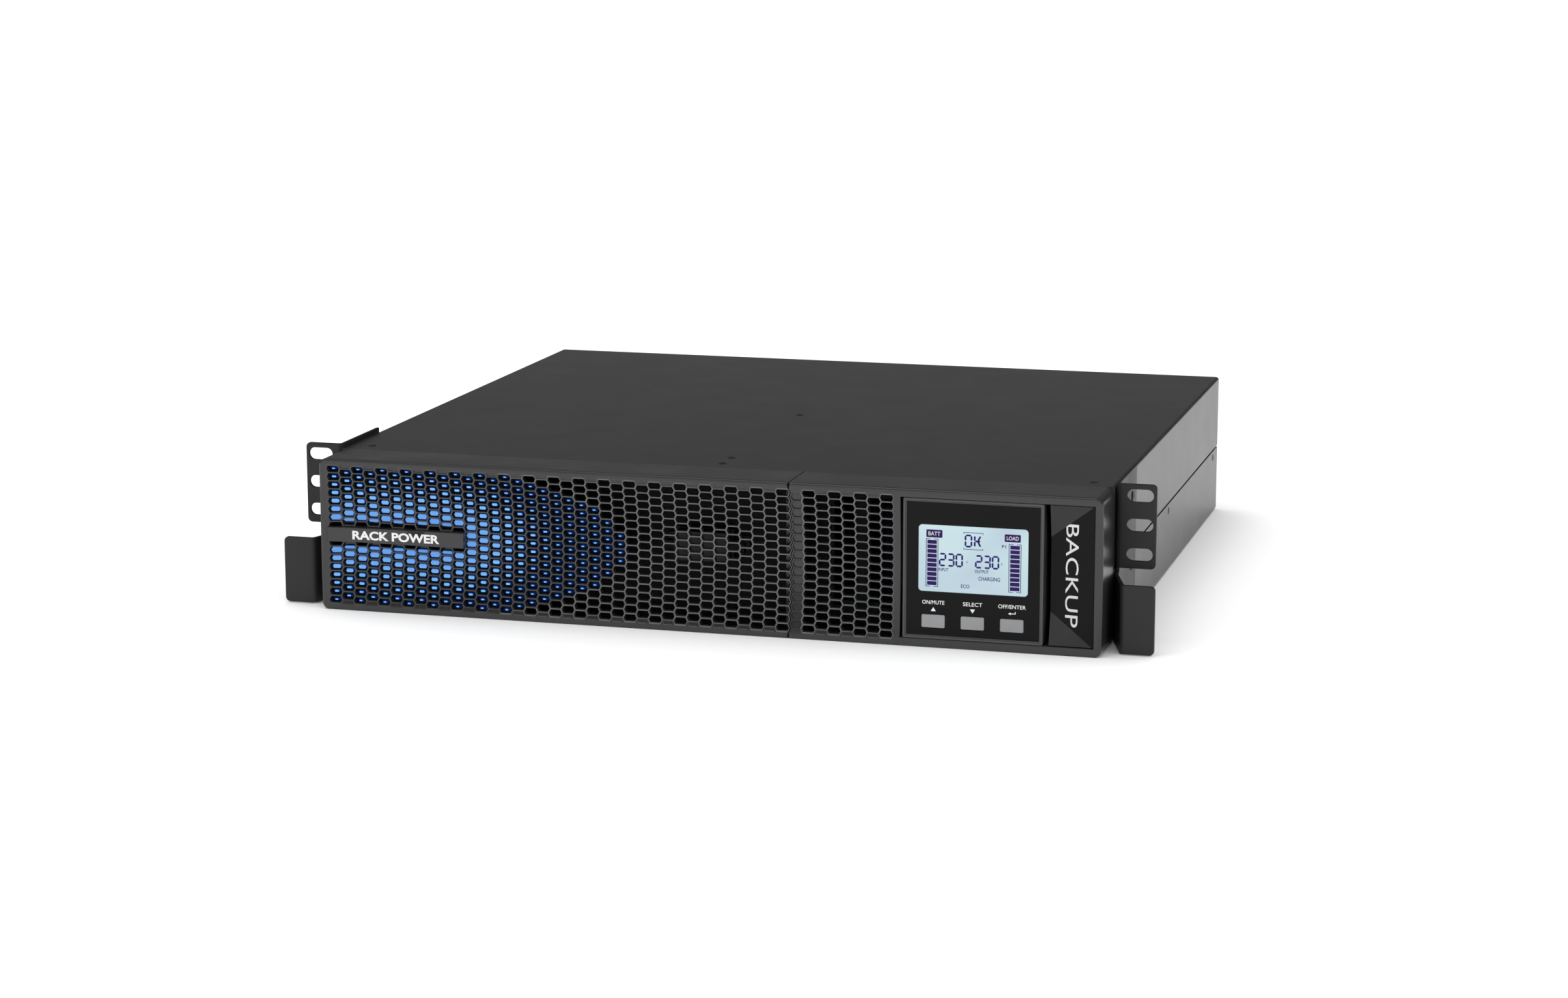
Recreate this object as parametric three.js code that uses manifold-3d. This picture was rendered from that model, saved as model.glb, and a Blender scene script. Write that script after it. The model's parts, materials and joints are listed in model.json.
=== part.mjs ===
// A rack-mounted uninterruptible power supply, two rack units high.
// Millimetres. +X is to the right seen from the front, -Y is the front, +Z is up.
// The origin is on the surface that the unit stands on, under the middle of its box.

import * as THREE from 'three';
import { mergeVertices } from 'three/addons/utils/BufferGeometryUtils.js';
import { ConvexGeometry } from 'three/addons/geometries/ConvexGeometry.js';
import Module from 'manifold-3d';

const wasm = await Module();
wasm.setup();

// ---------------------------------------------------------------- driving dimensions

const WIDTH = 438;              // chassis, without the rack ears
const HEIGHT = 85;
const DEPTH = 412;              // bezel front to cover rear edge
const MIDDLE = HEIGHT / 2;      // height of everything centred on the front
const HALF = WIDTH / 2;
const FRONT = -DEPTH / 2;
const REAR = DEPTH / 2;

const SHEET = 1.2;              // chassis sheet steel
const GAP = 0.3;                // clearance between pieces that rest on each other
const BEND = 2;                 // outer radius of the folded edges
const SEAM_HEIGHT = 41.1;       // where the cover meets the tray on the sides

const BEZEL_DEPTH = 33;
const BEZEL_WALL = 2.2;
const BEZEL_RIM = 4.5;
const BEZEL_CORNER = 4;
const BEZEL_SPLIT = 49;         // X of the seam between the two bezels
const GRILLE_DIP = 5;           // how far the grille curves in at mid-height
const GRILLE_THICKNESS = 4;

const EAR_SHEET = 2;
const EAR_CORNER = 1.8;         // under the sheet's thickness, so that the fold stays square
const EAR_SPAN = 482.6;         // over both ears, the 19 inch panel width
const EAR_SETBACK = 35;         // ear plate behind the bezel front
const EAR_LOW = 0.5;            // bottom of the flange and the handle tab
const EAR_BOTTOM = 41.3;        // bottom of the slotted plate
const EAR_TOP = 86.9;
const FLANGE_LENGTH = 55;
const TAB_SPAN = 490.6;         // over both handle tabs
const TAB_SETBACK = 10;
const TAB_TOP = 37.6;
const TAB_CORNER = 2.6;
const JOG_OUT = 7.9;            // the ear slants out behind the tab, this far sideways
const JOG_BACK = 26;            // and this far back
const FLANGE_OVERLAP = 5;       // the slant's root inside the flange
const RACK_HOLE_SPAN = 465.1;   // between the slot centres of the two ears
const RACK_PITCH = 15.875;      // height between two rack holes
const RACK_HOLE_HEIGHT = 64.8;  // of the middle slot
const SLOT_LENGTH = 14;
const SLOT_WIDTH = 6.8;

const DISPLAY_SIZE = 75.6;
const DISPLAY_X = 150;
const BADGE_LEFT = 190.7;
const BADGE_RIGHT = 214.5;

const BAY_RIGHT = -56;          // wall between the battery bay and the electronics
const REAR_RECESS = 4;          // rear panel inside the cover's rear edge
const FAN_SIZE = 80;
const FAN_DEPTH = 25;
const FAN_X = 165;

// ---------------------------------------------------------------- solids from geometry

function toSolid(geometry) {
  const bare = geometry.clone();
  bare.deleteAttribute('normal');
  bare.deleteAttribute('uv');
  const merged = mergeVertices(bare, 1e-4);
  const corners = [];
  for (let i = 0; i < merged.index.count; i += 3) {
    const [a, b, c] = [0, 1, 2].map((k) => merged.index.getX(i + k));
    if (a !== b && b !== c && a !== c) corners.push(a, b, c);
  }
  const vertProperties = Float32Array.from(merged.attributes.position.array);
  const triVerts = Uint32Array.from(corners);
  return new wasm.Manifold(new wasm.Mesh({ numProp: 3, vertProperties, triVerts }));
}

function toGeometry(solid) {
  const mesh = solid.getMesh();
  const geometry = new THREE.BufferGeometry();
  geometry.setAttribute('position', new THREE.BufferAttribute(Float32Array.from(mesh.vertProperties), 3));
  geometry.setIndex(new THREE.BufferAttribute(Uint32Array.from(mesh.triVerts), 1));
  geometry.computeVertexNormals();
  return geometry;
}

const join = (...solids) => solids.reduce((all, next) => all.add(next));
const cut = (body, ...tools) => tools.reduce((left, tool) => left.subtract(tool), body);
const range = (count) => Array.from({ length: count }, (_, i) => i);

function block(x0, x1, y0, y1, z0, z1) {
  const box = new THREE.BoxGeometry(x1 - x0, y1 - y0, z1 - z0);
  return toSolid(box.translate((x0 + x1) / 2, (y0 + y1) / 2, (z0 + z1) / 2));
}

// A block given by its middle and size in X and Z, and its two Y faces.
function slab(x, z, width, height, y0, y1) {
  return block(x - width / 2, x + width / 2, y0, y1, z - height / 2, z + height / 2);
}

// An outline in X and Z, pushed along Y.
function prismY(outline, y0, y1, arcSteps = 4) {
  const options = { depth: y1 - y0, bevelEnabled: false, curveSegments: arcSteps };
  const solid = new THREE.ExtrudeGeometry(outline, options);
  return toSolid(solid.rotateX(Math.PI / 2).translate(0, y1, 0));
}

function polygon(points) {
  return new THREE.Shape(points.map(([u, v]) => new THREE.Vector2(u, v)));
}

function roundedOutline(x, z, width, height, radius) {
  const [left, right, low, high] = [x - width / 2, x + width / 2, z - height / 2, z + height / 2];
  const shape = new THREE.Shape();
  shape.moveTo(left + radius, low);
  shape.lineTo(right - radius, low);
  shape.absarc(right - radius, low + radius, radius, -Math.PI / 2, 0);
  shape.lineTo(right, high - radius);
  shape.absarc(right - radius, high - radius, radius, 0, Math.PI / 2);
  shape.lineTo(left + radius, high);
  shape.absarc(left + radius, high - radius, radius, Math.PI / 2, Math.PI);
  shape.lineTo(left, low + radius);
  shape.absarc(left + radius, low + radius, radius, Math.PI, 1.5 * Math.PI);
  return shape;
}

// Round bars along each axis, given by two ends and the middle in the other two directions.
function rodY(radius, x, z, y0, y1, sides = 12) {
  const bar = new THREE.CylinderGeometry(radius, radius, y1 - y0, sides);
  return toSolid(bar.translate(x, (y0 + y1) / 2, z));
}

function rodX(radius, y, z, x0, x1, sides = 12) {
  const bar = new THREE.CylinderGeometry(radius, radius, x1 - x0, sides);
  return toSolid(bar.rotateZ(Math.PI / 2).translate((x0 + x1) / 2, y, z));
}

function rodZ(radius, x, y, z0, z1, sides = 12) {
  const bar = new THREE.CylinderGeometry(radius, radius, z1 - z0, sides);
  return toSolid(bar.rotateX(Math.PI / 2).translate(x, y, (z0 + z1) / 2));
}

// A flat ring around an axis along Y.
function ringY(inner, outer, x, z, y0, y1, sides) {
  return cut(rodY(outer, x, z, y0, y1, sides), rodY(inner, x, z, y0 - 1, y1 + 1, sides));
}

// ---------------------------------------------------------------- materials

const paint = (color, roughness, metalness) => new THREE.MeshStandardMaterial({
  color, roughness, metalness, flatShading: true,
});

const material = {
  blackSheet: paint('#2c2c2d', 0.45, 0.3),
  zincSheet: paint('#8f9296', 0.4, 0.8),
  bezel: paint('#3c3c3d', 0.5, 0),
  accent: paint('#1b7fe0', 0.25, 0),
  glossBlack: paint('#151516', 0.12, 0),
  frameGrey: paint('#77797b', 0.4, 0.2),
  button: paint('#9b9c9d', 0.5, 0),
  lcd: paint('#c6e4e8', 0.3, 0),
  board: paint('#1f5b34', 0.5, 0),
  batteryCase: paint('#262729', 0.6, 0),
  connectorGrey: paint('#2f3033', 0.55, 0),
  aluminium: paint('#a9acb0', 0.35, 0.9),
  copper: paint('#a5602f', 0.4, 0.8),
  ferrite: paint('#3a3b3e', 0.7, 0.1),
  capacitor: paint('#20304e', 0.35, 0),
  fan: paint('#1d1d1e', 0.5, 0),
  bright: paint('#c8cacc', 0.25, 1),
  socket: paint('#1b1b1c', 0.55, 0),
  resetRed: paint('#c23a22', 0.4, 0),
};

const unit = new THREE.Group();

function group(parent = unit) {
  const branch = new THREE.Group();
  parent.add(branch);
  return branch;
}

function place(parent, name, solid, look) {
  const mesh = new THREE.Mesh(toGeometry(solid), look);
  mesh.name = name;
  parent.add(mesh);
}

// ---------------------------------------------------------------- chassis

const CHASSIS_FRONT = FRONT + BEZEL_DEPTH + GAP;
const PANEL_OUTER = REAR - REAR_RECESS;
const PANEL_INNER = PANEL_OUTER - SHEET;
const SEAM_GAP = 0.6;
const SCREW_HOLE = 1.9;
const BOARD_LOW = 8;
const EAR_SCREW_Y = FRONT + 77;
const EAR_SCREW_HEIGHTS = { upper: 72, lower: 34 };

// Cover screws: middle of the top, a pair on the front edge's line, and the front corners.
const COVER_SCREWS = {
  cover_screw_front_left: [-205.5, FRONT + 45],
  cover_screw_front_middle: [0, FRONT + 45],
  cover_screw_front_right: [205.5, FRONT + 45],
  cover_screw_second_row: [0, FRONT + 62.5],
  cover_screw_centre: [0, FRONT + 206.6],
};

function foldedOutline(endHeight, foldHeight) {
  // A U of sheet steel: two sides that start at endHeight and one flat at foldHeight.
  const inward = foldHeight > endHeight ? -1 : 1;
  const [outer, inner] = [HALF, HALF - SHEET];
  const shape = new THREE.Shape();
  shape.moveTo(-outer, endHeight);
  shape.lineTo(-outer, foldHeight + inward * BEND);
  shape.quadraticCurveTo(-outer, foldHeight, -outer + BEND, foldHeight);
  shape.lineTo(outer - BEND, foldHeight);
  shape.quadraticCurveTo(outer, foldHeight, outer, foldHeight + inward * BEND);
  shape.lineTo(outer, endHeight);
  shape.lineTo(inner, endHeight);
  shape.lineTo(inner, foldHeight + inward * SHEET);
  shape.lineTo(-inner, foldHeight + inward * SHEET);
  shape.lineTo(-inner, endHeight);
  return shape;
}

function earScrewHoles(height) {
  return rodX(SCREW_HOLE, EAR_SCREW_Y, height, -HALF - 5, HALF + 5);
}

function topCover() {
  const sheet = prismY(foldedOutline(SEAM_HEIGHT + SEAM_GAP / 2, HEIGHT), CHASSIS_FRONT, REAR);
  const holes = Object.values(COVER_SCREWS).map(([x, y]) => rodZ(SCREW_HOLE, x, y, HEIGHT - 5, HEIGHT + 5));
  return cut(sheet, earScrewHoles(EAR_SCREW_HEIGHTS.upper), ...holes);
}

function bottomTray() {
  const sheet = prismY(foldedOutline(SEAM_HEIGHT - SEAM_GAP / 2, 0), CHASSIS_FRONT, REAR);
  // Rails stand inside the sides and close the seam from within.
  const inside = HALF - SHEET;
  const rails = [-1, 1].flatMap((side) => {
    const bar = (near, far, low, high) => {
      const [x0, x1] = [side * near, side * far].sort((a, b) => a - b);
      return block(x0, x1, CHASSIS_FRONT + 5, PANEL_INNER - 5, low, high);
    };
    return [bar(inside + 0.1, inside - 1.4, 26, 30), bar(inside - 0.4, inside - 1.4, 26, 52)];
  });
  const post = (x, y) => rodZ(3, x, y, SHEET - 0.2, BOARD_LOW - GAP, 8);
  const posts = [-30, 90, 200].flatMap((x) => [-140, 150].map((y) => post(x, y)));
  const body = join(sheet, ...rails, ...posts);
  return cut(body, earScrewHoles(EAR_SCREW_HEIGHTS.lower));
}

function frontPanel() {
  const [y0, y1] = [CHASSIS_FRONT + 1, CHASSIS_FRONT + 1 + SHEET];
  const edge = SHEET + GAP;
  const sheet = block(-HALF + edge, HALF - edge, y0, y1, edge, HEIGHT - edge);
  const bay = block(-HALF + 5, BAY_RIGHT - 1, y0 - 1, y1 + 1, 3.5, 76);
  const vents = range(7).map((i) => block(66 + i * 20, 78 + i * 20, y0 - 1, y1 + 1, 12, 72));
  return cut(sheet, bay, ...vents);
}

function batteryDoor() {
  const y1 = CHASSIS_FRONT + 1 - GAP;
  const sheet = block(-HALF + 4, BAY_RIGHT + 3, y1 - SHEET, y1, 3, 82);
  const finger = slab(BAY_RIGHT - 12, MIDDLE, 3, 24, y1 - 9, y1 - SHEET / 2);
  return join(sheet, finger);
}

function bayDivider() {
  const [y0, y1] = [CHASSIS_FRONT + 3, 125];
  const wall = block(BAY_RIGHT, BAY_RIGHT + SHEET, y0, y1, SHEET + GAP, HEIGHT - SHEET - GAP);
  const foot = block(BAY_RIGHT, BAY_RIGHT + 12, y0, y1, SHEET + GAP, 2 * SHEET + GAP);
  return join(wall, foot);
}

const SCREW_HEAD = { radius: 3.2, height: 1.2 };
const SCREW_SHANK = { radius: 1.5, length: 6 };

function coverScrew([x, y]) {
  const low = HEIGHT + GAP / 2 - SCREW_HEAD.height;
  const head = rodZ(SCREW_HEAD.radius, x, y, low + SCREW_HEAD.height, low + 2 * SCREW_HEAD.height);
  const tip = HEIGHT - SCREW_SHANK.length;
  return join(head, rodZ(SCREW_SHANK.radius, x, y, tip, low + 1.5 * SCREW_HEAD.height, 8));
}

const chassis = group();

place(chassis, 'top_cover', topCover(), material.blackSheet);
place(chassis, 'bottom_tray', bottomTray(), material.blackSheet);
place(chassis, 'front_panel', frontPanel(), material.blackSheet);
place(chassis, 'battery_door', batteryDoor(), material.blackSheet);
place(chassis, 'bay_divider', bayDivider(), material.zincSheet);
for (const [name, spot] of Object.entries(COVER_SCREWS)) {
  place(chassis, name, coverScrew(spot), material.blackSheet);
}

// ---------------------------------------------------------------- rack ears

const SLOT_HEIGHTS = [-1, 0, 1].map((step) => RACK_HOLE_HEIGHT + step * RACK_PITCH);
const FLANGE_INNER = HALF + GAP;
const FLANGE_OUTER = FLANGE_INNER + EAR_SHEET;

function slotOutline(x, z) {
  return roundedOutline(x, z, SLOT_LENGTH, SLOT_WIDTH, SLOT_WIDTH / 2 - 0.01);
}

// The lower half of an ear seen from above: flange, slanted jog and handle tab, all of one thickness.
function handleSection(side) {
  const tabY = FRONT + TAB_SETBACK;
  const jogX = FLANGE_INNER + JOG_OUT;
  const jogY = tabY + JOG_BACK;
  const turn = Math.atan2(JOG_OUT, JOG_BACK);
  const atFlange = EAR_SHEET * Math.tan(turn / 2);
  const atTab = EAR_SHEET * Math.tan((Math.PI / 2 - turn) / 2);
  const rear = jogY + FLANGE_OVERLAP;
  const inFront = [
    [FLANGE_INNER, rear], [FLANGE_INNER, jogY],
    [jogX, tabY], [TAB_SPAN / 2, tabY],
  ];
  const behind = [
    [TAB_SPAN / 2, tabY + EAR_SHEET], [jogX + atTab, tabY + EAR_SHEET],
    [FLANGE_OUTER, jogY + atFlange], [FLANGE_OUTER, rear],
  ];
  return polygon([...inFront, ...behind].map(([x, y]) => [side * x, y]));
}

function rackEar(side) {
  const span = (a, b) => [side * a, side * b].sort((p, q) => p - q);
  const plateY = FRONT + EAR_SETBACK;
  const [flange0, flange1] = span(FLANGE_INNER, FLANGE_OUTER);
  const upper = block(flange0, flange1, plateY, plateY + FLANGE_LENGTH, EAR_LOW, EAR_TOP);
  const plateMiddle = side * (FLANGE_INNER + EAR_SPAN / 2) / 2;
  const plateWidth = EAR_SPAN / 2 - FLANGE_INNER;
  const plateHeight = EAR_TOP - EAR_BOTTOM;
  const plateZ = EAR_BOTTOM + plateHeight / 2;
  const plateOutline = roundedOutline(plateMiddle, plateZ, plateWidth, plateHeight, EAR_CORNER);
  const plate = prismY(plateOutline, plateY, plateY + EAR_SHEET, 2);
  const tabHeight = TAB_TOP - EAR_LOW;
  const section = new THREE.ExtrudeGeometry(handleSection(side), { depth: tabHeight, bevelEnabled: false });
  const folded = toSolid(section.translate(0, 0, EAR_LOW));
  const [tabX, tabZ] = [side * TAB_SPAN / 4, EAR_LOW + tabHeight / 2];
  const seenFromFront = roundedOutline(tabX, tabZ, TAB_SPAN / 2, tabHeight, TAB_CORNER);
  const handle = folded.intersect(prismY(seenFromFront, FRONT, 0, 3));
  const slotX = side * RACK_HOLE_SPAN / 2;
  const slots = SLOT_HEIGHTS.map((z) => prismY(slotOutline(slotX, z), plateY - 3, plateY + 5, 3));
  const holes = Object.values(EAR_SCREW_HEIGHTS).map((z) => {
    const [x0, x1] = span(FLANGE_INNER - 2, FLANGE_OUTER + 2);
    return rodX(SCREW_HOLE, EAR_SCREW_Y, z, x0, x1);
  });
  return cut(join(upper, handle, plate), ...slots, ...holes);
}

function earScrew(side, height) {
  const along = (a, b) => [side * a, side * b].sort((p, q) => p - q);
  const [head0, head1] = along(FLANGE_OUTER + GAP, FLANGE_OUTER + GAP + 1.8);
  const [shank0, shank1] = along(FLANGE_INNER - 3.5, FLANGE_OUTER + GAP + 1);
  const head = rodX(3.6, EAR_SCREW_Y, height, head0, head1);
  return join(head, rodX(SCREW_SHANK.radius, EAR_SCREW_Y, height, shank0, shank1, 8));
}

const ears = group();
for (const [sideName, side] of [['left', -1], ['right', 1]]) {
  place(ears, `${sideName}_ear`, rackEar(side), material.blackSheet);
  for (const [levelName, height] of Object.entries(EAR_SCREW_HEIGHTS)) {
    place(ears, `ear_screw_${sideName}_${levelName}`, earScrew(side, height), material.bright);
  }
}

// ---------------------------------------------------------------- bezels

const RIM_LOW = BEZEL_RIM;
const RIM_HIGH = HEIGHT - BEZEL_RIM;
const HALF_CHORD = MIDDLE - BEZEL_RIM;
const DIP_RADIUS = (HALF_CHORD ** 2 + GRILLE_DIP ** 2) / (2 * GRILLE_DIP);
const DIP_AXIS_Y = FRONT + GRILLE_DIP - DIP_RADIUS;
const DIP_SIDES = 120;
const BEZEL_BACK = FRONT + BEZEL_DEPTH;

// Coarse hexagonal openings stand for the fine honeycomb: the same shape at a wider pitch.
const CELL = { width: 22, height: 13.5, pitchX: 25.6, pitchZ: 18.4 };

function hexagon(x, z, width, height) {
  const point = width / 2;
  const flat = width / 2 - height * 0.29;
  return polygon([[x - point, z], [x - flat, z - height / 2], [x + flat, z - height / 2],
    [x + point, z], [x + flat, z + height / 2], [x - flat, z + height / 2]]);
}

function cellHoles(x0, columns) {
  return range(columns).flatMap((column) => {
    const shifted = column % 2 === 1;
    const rows = shifted ? [-1, 0, 1] : [-1.5, -0.5, 0.5, 1.5];
    const x = x0 + column * CELL.pitchX;
    const cell = (row) => hexagon(x, MIDDLE + row * CELL.pitchZ, CELL.width, CELL.height);
    return rows.map((row) => prismY(cell(row), FRONT - 5, FRONT + 20));
  });
}

// The cylinder whose surface is the curved grille, grown by an offset and clipped to x0..x1.
const dipCylinder = (offset, x0, x1) => rodX(DIP_RADIUS + offset, DIP_AXIS_Y, MIDDLE, x0, x1, DIP_SIDES);

// A bezel's outline: rounded where it ends the front, square where the two bezels meet.
function bezelOutline(x0, x1, roundLeft) {
  const r = BEZEL_CORNER;
  const shape = new THREE.Shape();
  if (roundLeft) {
    shape.moveTo(x1, 0);
    shape.lineTo(x1, HEIGHT);
    shape.lineTo(x0 + r, HEIGHT);
    shape.absarc(x0 + r, HEIGHT - r, r, Math.PI / 2, Math.PI);
    shape.lineTo(x0, r);
    shape.absarc(x0 + r, r, r, Math.PI, 1.5 * Math.PI);
    return shape;
  }
  shape.moveTo(x0, 0);
  shape.lineTo(x1 - r, 0);
  shape.absarc(x1 - r, r, r, -Math.PI / 2, 0);
  shape.lineTo(x1, HEIGHT - r);
  shape.absarc(x1 - r, HEIGHT - r, r, 0, Math.PI / 2);
  shape.lineTo(x0, HEIGHT);
  return shape;
}

function grilleWindow(x0, x1) {
  return block(x0, x1, FRONT - 1, FRONT + 20, RIM_LOW, RIM_HIGH);
}

function leftBezel() {
  const [x0, x1] = [-HALF, BEZEL_SPLIT - GAP / 2];
  const body = prismY(bezelOutline(x0, x1, true), FRONT, BEZEL_BACK);
  const dip = dipCylinder(0, x0 + BEZEL_RIM, x1 + 1).intersect(grilleWindow(x0 + BEZEL_RIM, x1 + 1));
  const [low, high] = [BEZEL_WALL, HEIGHT - BEZEL_WALL];
  const inside = block(x0 + BEZEL_WALL, x1 - BEZEL_WALL, FRONT - 1, BEZEL_BACK + 1, low, high);
  const hollow = cut(inside, dipCylinder(GRILLE_THICKNESS, x0 - 1, x1 + 1));
  return cut(body, dip, hollow, ...cellHoles(x0 + 19, 10));
}

const GRILLE_END = 107;
const WINDOW_LEFT = 110.7;

function rightBezel() {
  const [x0, x1] = [BEZEL_SPLIT + GAP / 2, HALF];
  const body = prismY(bezelOutline(x0, x1, false), FRONT, BEZEL_BACK);
  const dip = dipCylinder(0, x0 - 1, GRILLE_END).intersect(grilleWindow(x0 - 1, GRILLE_END));
  const [low, high] = [BEZEL_WALL, HEIGHT - BEZEL_WALL];
  const grilleRoom = cut(block(x0 + BEZEL_WALL, WINDOW_LEFT - 2, FRONT - 1, BEZEL_BACK + 1, low, high),
    dipCylinder(GRILLE_THICKNESS, x0 - 1, WINDOW_LEFT));
  const window = block(WINDOW_LEFT, x1 - BEZEL_RIM + GAP, FRONT - 1, FRONT + 9, RIM_LOW, RIM_HIGH);
  const displayRoom = block(WINDOW_LEFT, BADGE_LEFT - GAP, FRONT + 3, BEZEL_BACK + 1, low, high);
  const badgeRoom = block(BADGE_LEFT + 1.2, x1 - BEZEL_WALL, FRONT + 9, BEZEL_BACK + 1, low, high);
  return cut(body, dip, grilleRoom, window, displayRoom, badgeRoom, ...cellHoles(x0 + 15, 2));
}

const ACCENT = { centre: -214, length: 170, halfHeight: 48, near: 0.5, thickness: 2.5 };

function accentInsert() {
  const { centre, length, halfHeight, near, thickness } = ACCENT;
  const half = new THREE.Shape();
  half.moveTo(centre, MIDDLE + halfHeight);
  half.absellipse(centre, MIDDLE, length, halfHeight, Math.PI / 2, -Math.PI / 2, true);
  const lobe = prismY(half, FRONT, BEZEL_BACK, 24);
  const trimmed = lobe.intersect(block(-HALF + 5, 0, FRONT, BEZEL_BACK, 5, HEIGHT - 5));
  const inner = dipCylinder(GRILLE_THICKNESS + near, -HALF, 0);
  const outer = dipCylinder(GRILLE_THICKNESS + near + thickness, -HALF, 0);
  return cut(trimmed.intersect(outer), inner);
}

function nameBar() {
  const back = FRONT + GRILLE_DIP - GAP - 0.1;
  const [left, right] = [-214.2, -135.7];
  const [narrow, wide] = [3.8, 4.3];
  return prismY(polygon([[left, MIDDLE - narrow], [right, MIDDLE - wide], [right, MIDDLE + wide],
    [left, MIDDLE + narrow]]), back - 2, back);
}

// The end panel is a flat block with a shallow three-sided valley, deepest along its left edge.
function badgePanel() {
  const [y0, y1] = [FRONT + 1.2, FRONT + 8.4];
  const valley = 4.2;
  const [low, high] = [RIM_LOW + GAP, RIM_HIGH - GAP];
  const body = block(BADGE_LEFT, BADGE_RIGHT, y0, y1, low, high);
  const corner = (x, y, z) => new THREE.Vector3(x, y, z);
  const facets = new ConvexGeometry([
    corner(BADGE_LEFT, y0, high), corner(BADGE_RIGHT, y0, high), corner(BADGE_RIGHT, y0, low),
    corner(BADGE_LEFT, y0, low), corner(BADGE_LEFT, y0 + valley, MIDDLE + 19.5),
    corner(BADGE_LEFT, y0 + valley, MIDDLE - 19.5),
  ]);
  return cut(body, toSolid(facets));
}

const bezels = group();
place(bezels, 'left_bezel', leftBezel(), material.bezel);
place(bezels, 'accent_insert', accentInsert(), material.accent);
place(bezels, 'name_bar', nameBar(), material.bezel);
place(bezels, 'right_bezel', rightBezel(), material.bezel);
place(bezels, 'badge_panel', badgePanel(), material.glossBlack);

// ---------------------------------------------------------------- display module
// Built around its own middle: X and Z from the middle of the square, Y from its front face.

const FRAME_LIP = 1.5;
const FACE_THICKNESS = 1.8;
const FACE_SIZE = DISPLAY_SIZE - 2 * FRAME_LIP - 2 * GAP;
const LCD = { width: 59, height: 36, z: 5.8, corner: 2 };
const KEY = { width: 12.6, height: 7, z: -28.2, pitch: 21.2, play: 0.3, travel: 1.2, proud: 0.5 };
const KEY_NAMES = { button_left: -1, button_middle: 0, button_right: 1 };
const FACE_BACK = 0.4 + FACE_THICKNESS;

const displayModule = group();
displayModule.position.set(DISPLAY_X, FRONT + 0.4, MIDDLE);

function displayHousing() {
  const depth = 27;
  const body = slab(0, 0, DISPLAY_SIZE, DISPLAY_SIZE, 0, depth);
  const seat = slab(0, 0, FACE_SIZE + 2 * GAP, FACE_SIZE + 2 * GAP, -1, FACE_BACK + GAP);
  const inside = slab(0, 0, DISPLAY_SIZE - 8, DISPLAY_SIZE - 8, 0, depth + 1);
  return cut(body, seat, inside);
}

function displayFace() {
  const plate = slab(0, 0, FACE_SIZE, FACE_SIZE, 0.4, FACE_BACK);
  const pane = prismY(roundedOutline(0, LCD.z, LCD.width, LCD.height, LCD.corner), -1, FACE_BACK + 1, 3);
  const keys = Object.values(KEY_NAMES).map((step) => slab(step * KEY.pitch, KEY.z,
    KEY.width + 2 * KEY.play, KEY.height + 2 * KEY.play, -1, FACE_BACK + 1));
  return cut(plate, pane, ...keys);
}

function lcdPanel() {
  const outline = roundedOutline(0, LCD.z, LCD.width - 2 * GAP, LCD.height - 2 * GAP, LCD.corner - GAP);
  const pane = prismY(outline, 0.7, FACE_BACK + 1, 3);
  return join(pane, slab(0, LCD.z, LCD.width + 3, LCD.height + 3, FACE_BACK + GAP, FACE_BACK + 3.5));
}

const KEY_BACK = FACE_BACK + 2.6;

function displayBoard() {
  const size = DISPLAY_SIZE - 10;
  const board = slab(0, 0, size, size, KEY_BACK + 4, KEY_BACK + 5.6);
  const switches = Object.values(KEY_NAMES).map((step) => slab(step * KEY.pitch, KEY.z, 6, 6,
    KEY_BACK + KEY.travel + GAP, KEY_BACK + 4.5));
  return join(board, ...switches);
}

function keyCap(step) {
  const cap = slab(step * KEY.pitch, KEY.z, KEY.width, KEY.height, 0.4 - KEY.proud, FACE_BACK + 1);
  const collar = slab(step * KEY.pitch, KEY.z, KEY.width + 2, KEY.height + 2, FACE_BACK + 0.4, KEY_BACK);
  return join(cap, collar);
}

place(displayModule, 'display_housing', displayHousing(), material.frameGrey);
place(displayModule, 'display_face', displayFace(), material.glossBlack);
place(displayModule, 'lcd_panel', lcdPanel(), material.lcd);
place(displayModule, 'display_board', displayBoard(), material.board);
for (const [name, step] of Object.entries(KEY_NAMES)) {
  place(displayModule, name, keyCap(step), material.button);
}

// ---------------------------------------------------------------- battery pack

const BATTERY = { width: 151, depth: 94, height: 65, spacing: 95 };
const TRAY_SHEET = 1;
const BAY_LEFT = -HALF + 6.2;

function batteryTray() {
  const [x0, x1] = [BAY_LEFT, BAY_LEFT + BATTERY.width + 2 * TRAY_SHEET + 2];
  const [y0, y1] = [CHASSIS_FRONT + 3.5, 121];
  const [low, floor, high] = [1.8, 1.8 + TRAY_SHEET, 24];
  return cut(block(x0, x1, y0, y1, low, high),
    block(x0 + TRAY_SHEET, x1 - TRAY_SHEET, y0 - 1, y1 - TRAY_SHEET, floor, high + 1));
}

function batteryBlock(index) {
  const x0 = BAY_LEFT + TRAY_SHEET + 1;
  const y0 = CHASSIS_FRONT + 5 + index * BATTERY.spacing;
  const low = 3.2;
  const top = low + BATTERY.height;
  const body = block(x0, x0 + BATTERY.width, y0, y0 + BATTERY.depth, low, top);
  const tab = (y) => block(x0 + 8, x0 + 9, y0 + y - 3, y0 + y + 3, top - 1, top + 7);
  const terminals = [8, BATTERY.depth - 8].map(tab);
  return join(body, ...terminals);
}

const battery = group();
place(battery, 'battery_tray', batteryTray(), material.zincSheet);
['battery_front', 'battery_middle', 'battery_rear'].forEach((name, index) => {
  place(battery, name, batteryBlock(index), material.batteryCase);
});

const PLUG = { x: -4, z: 44, width: 32, height: 17 };

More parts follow.
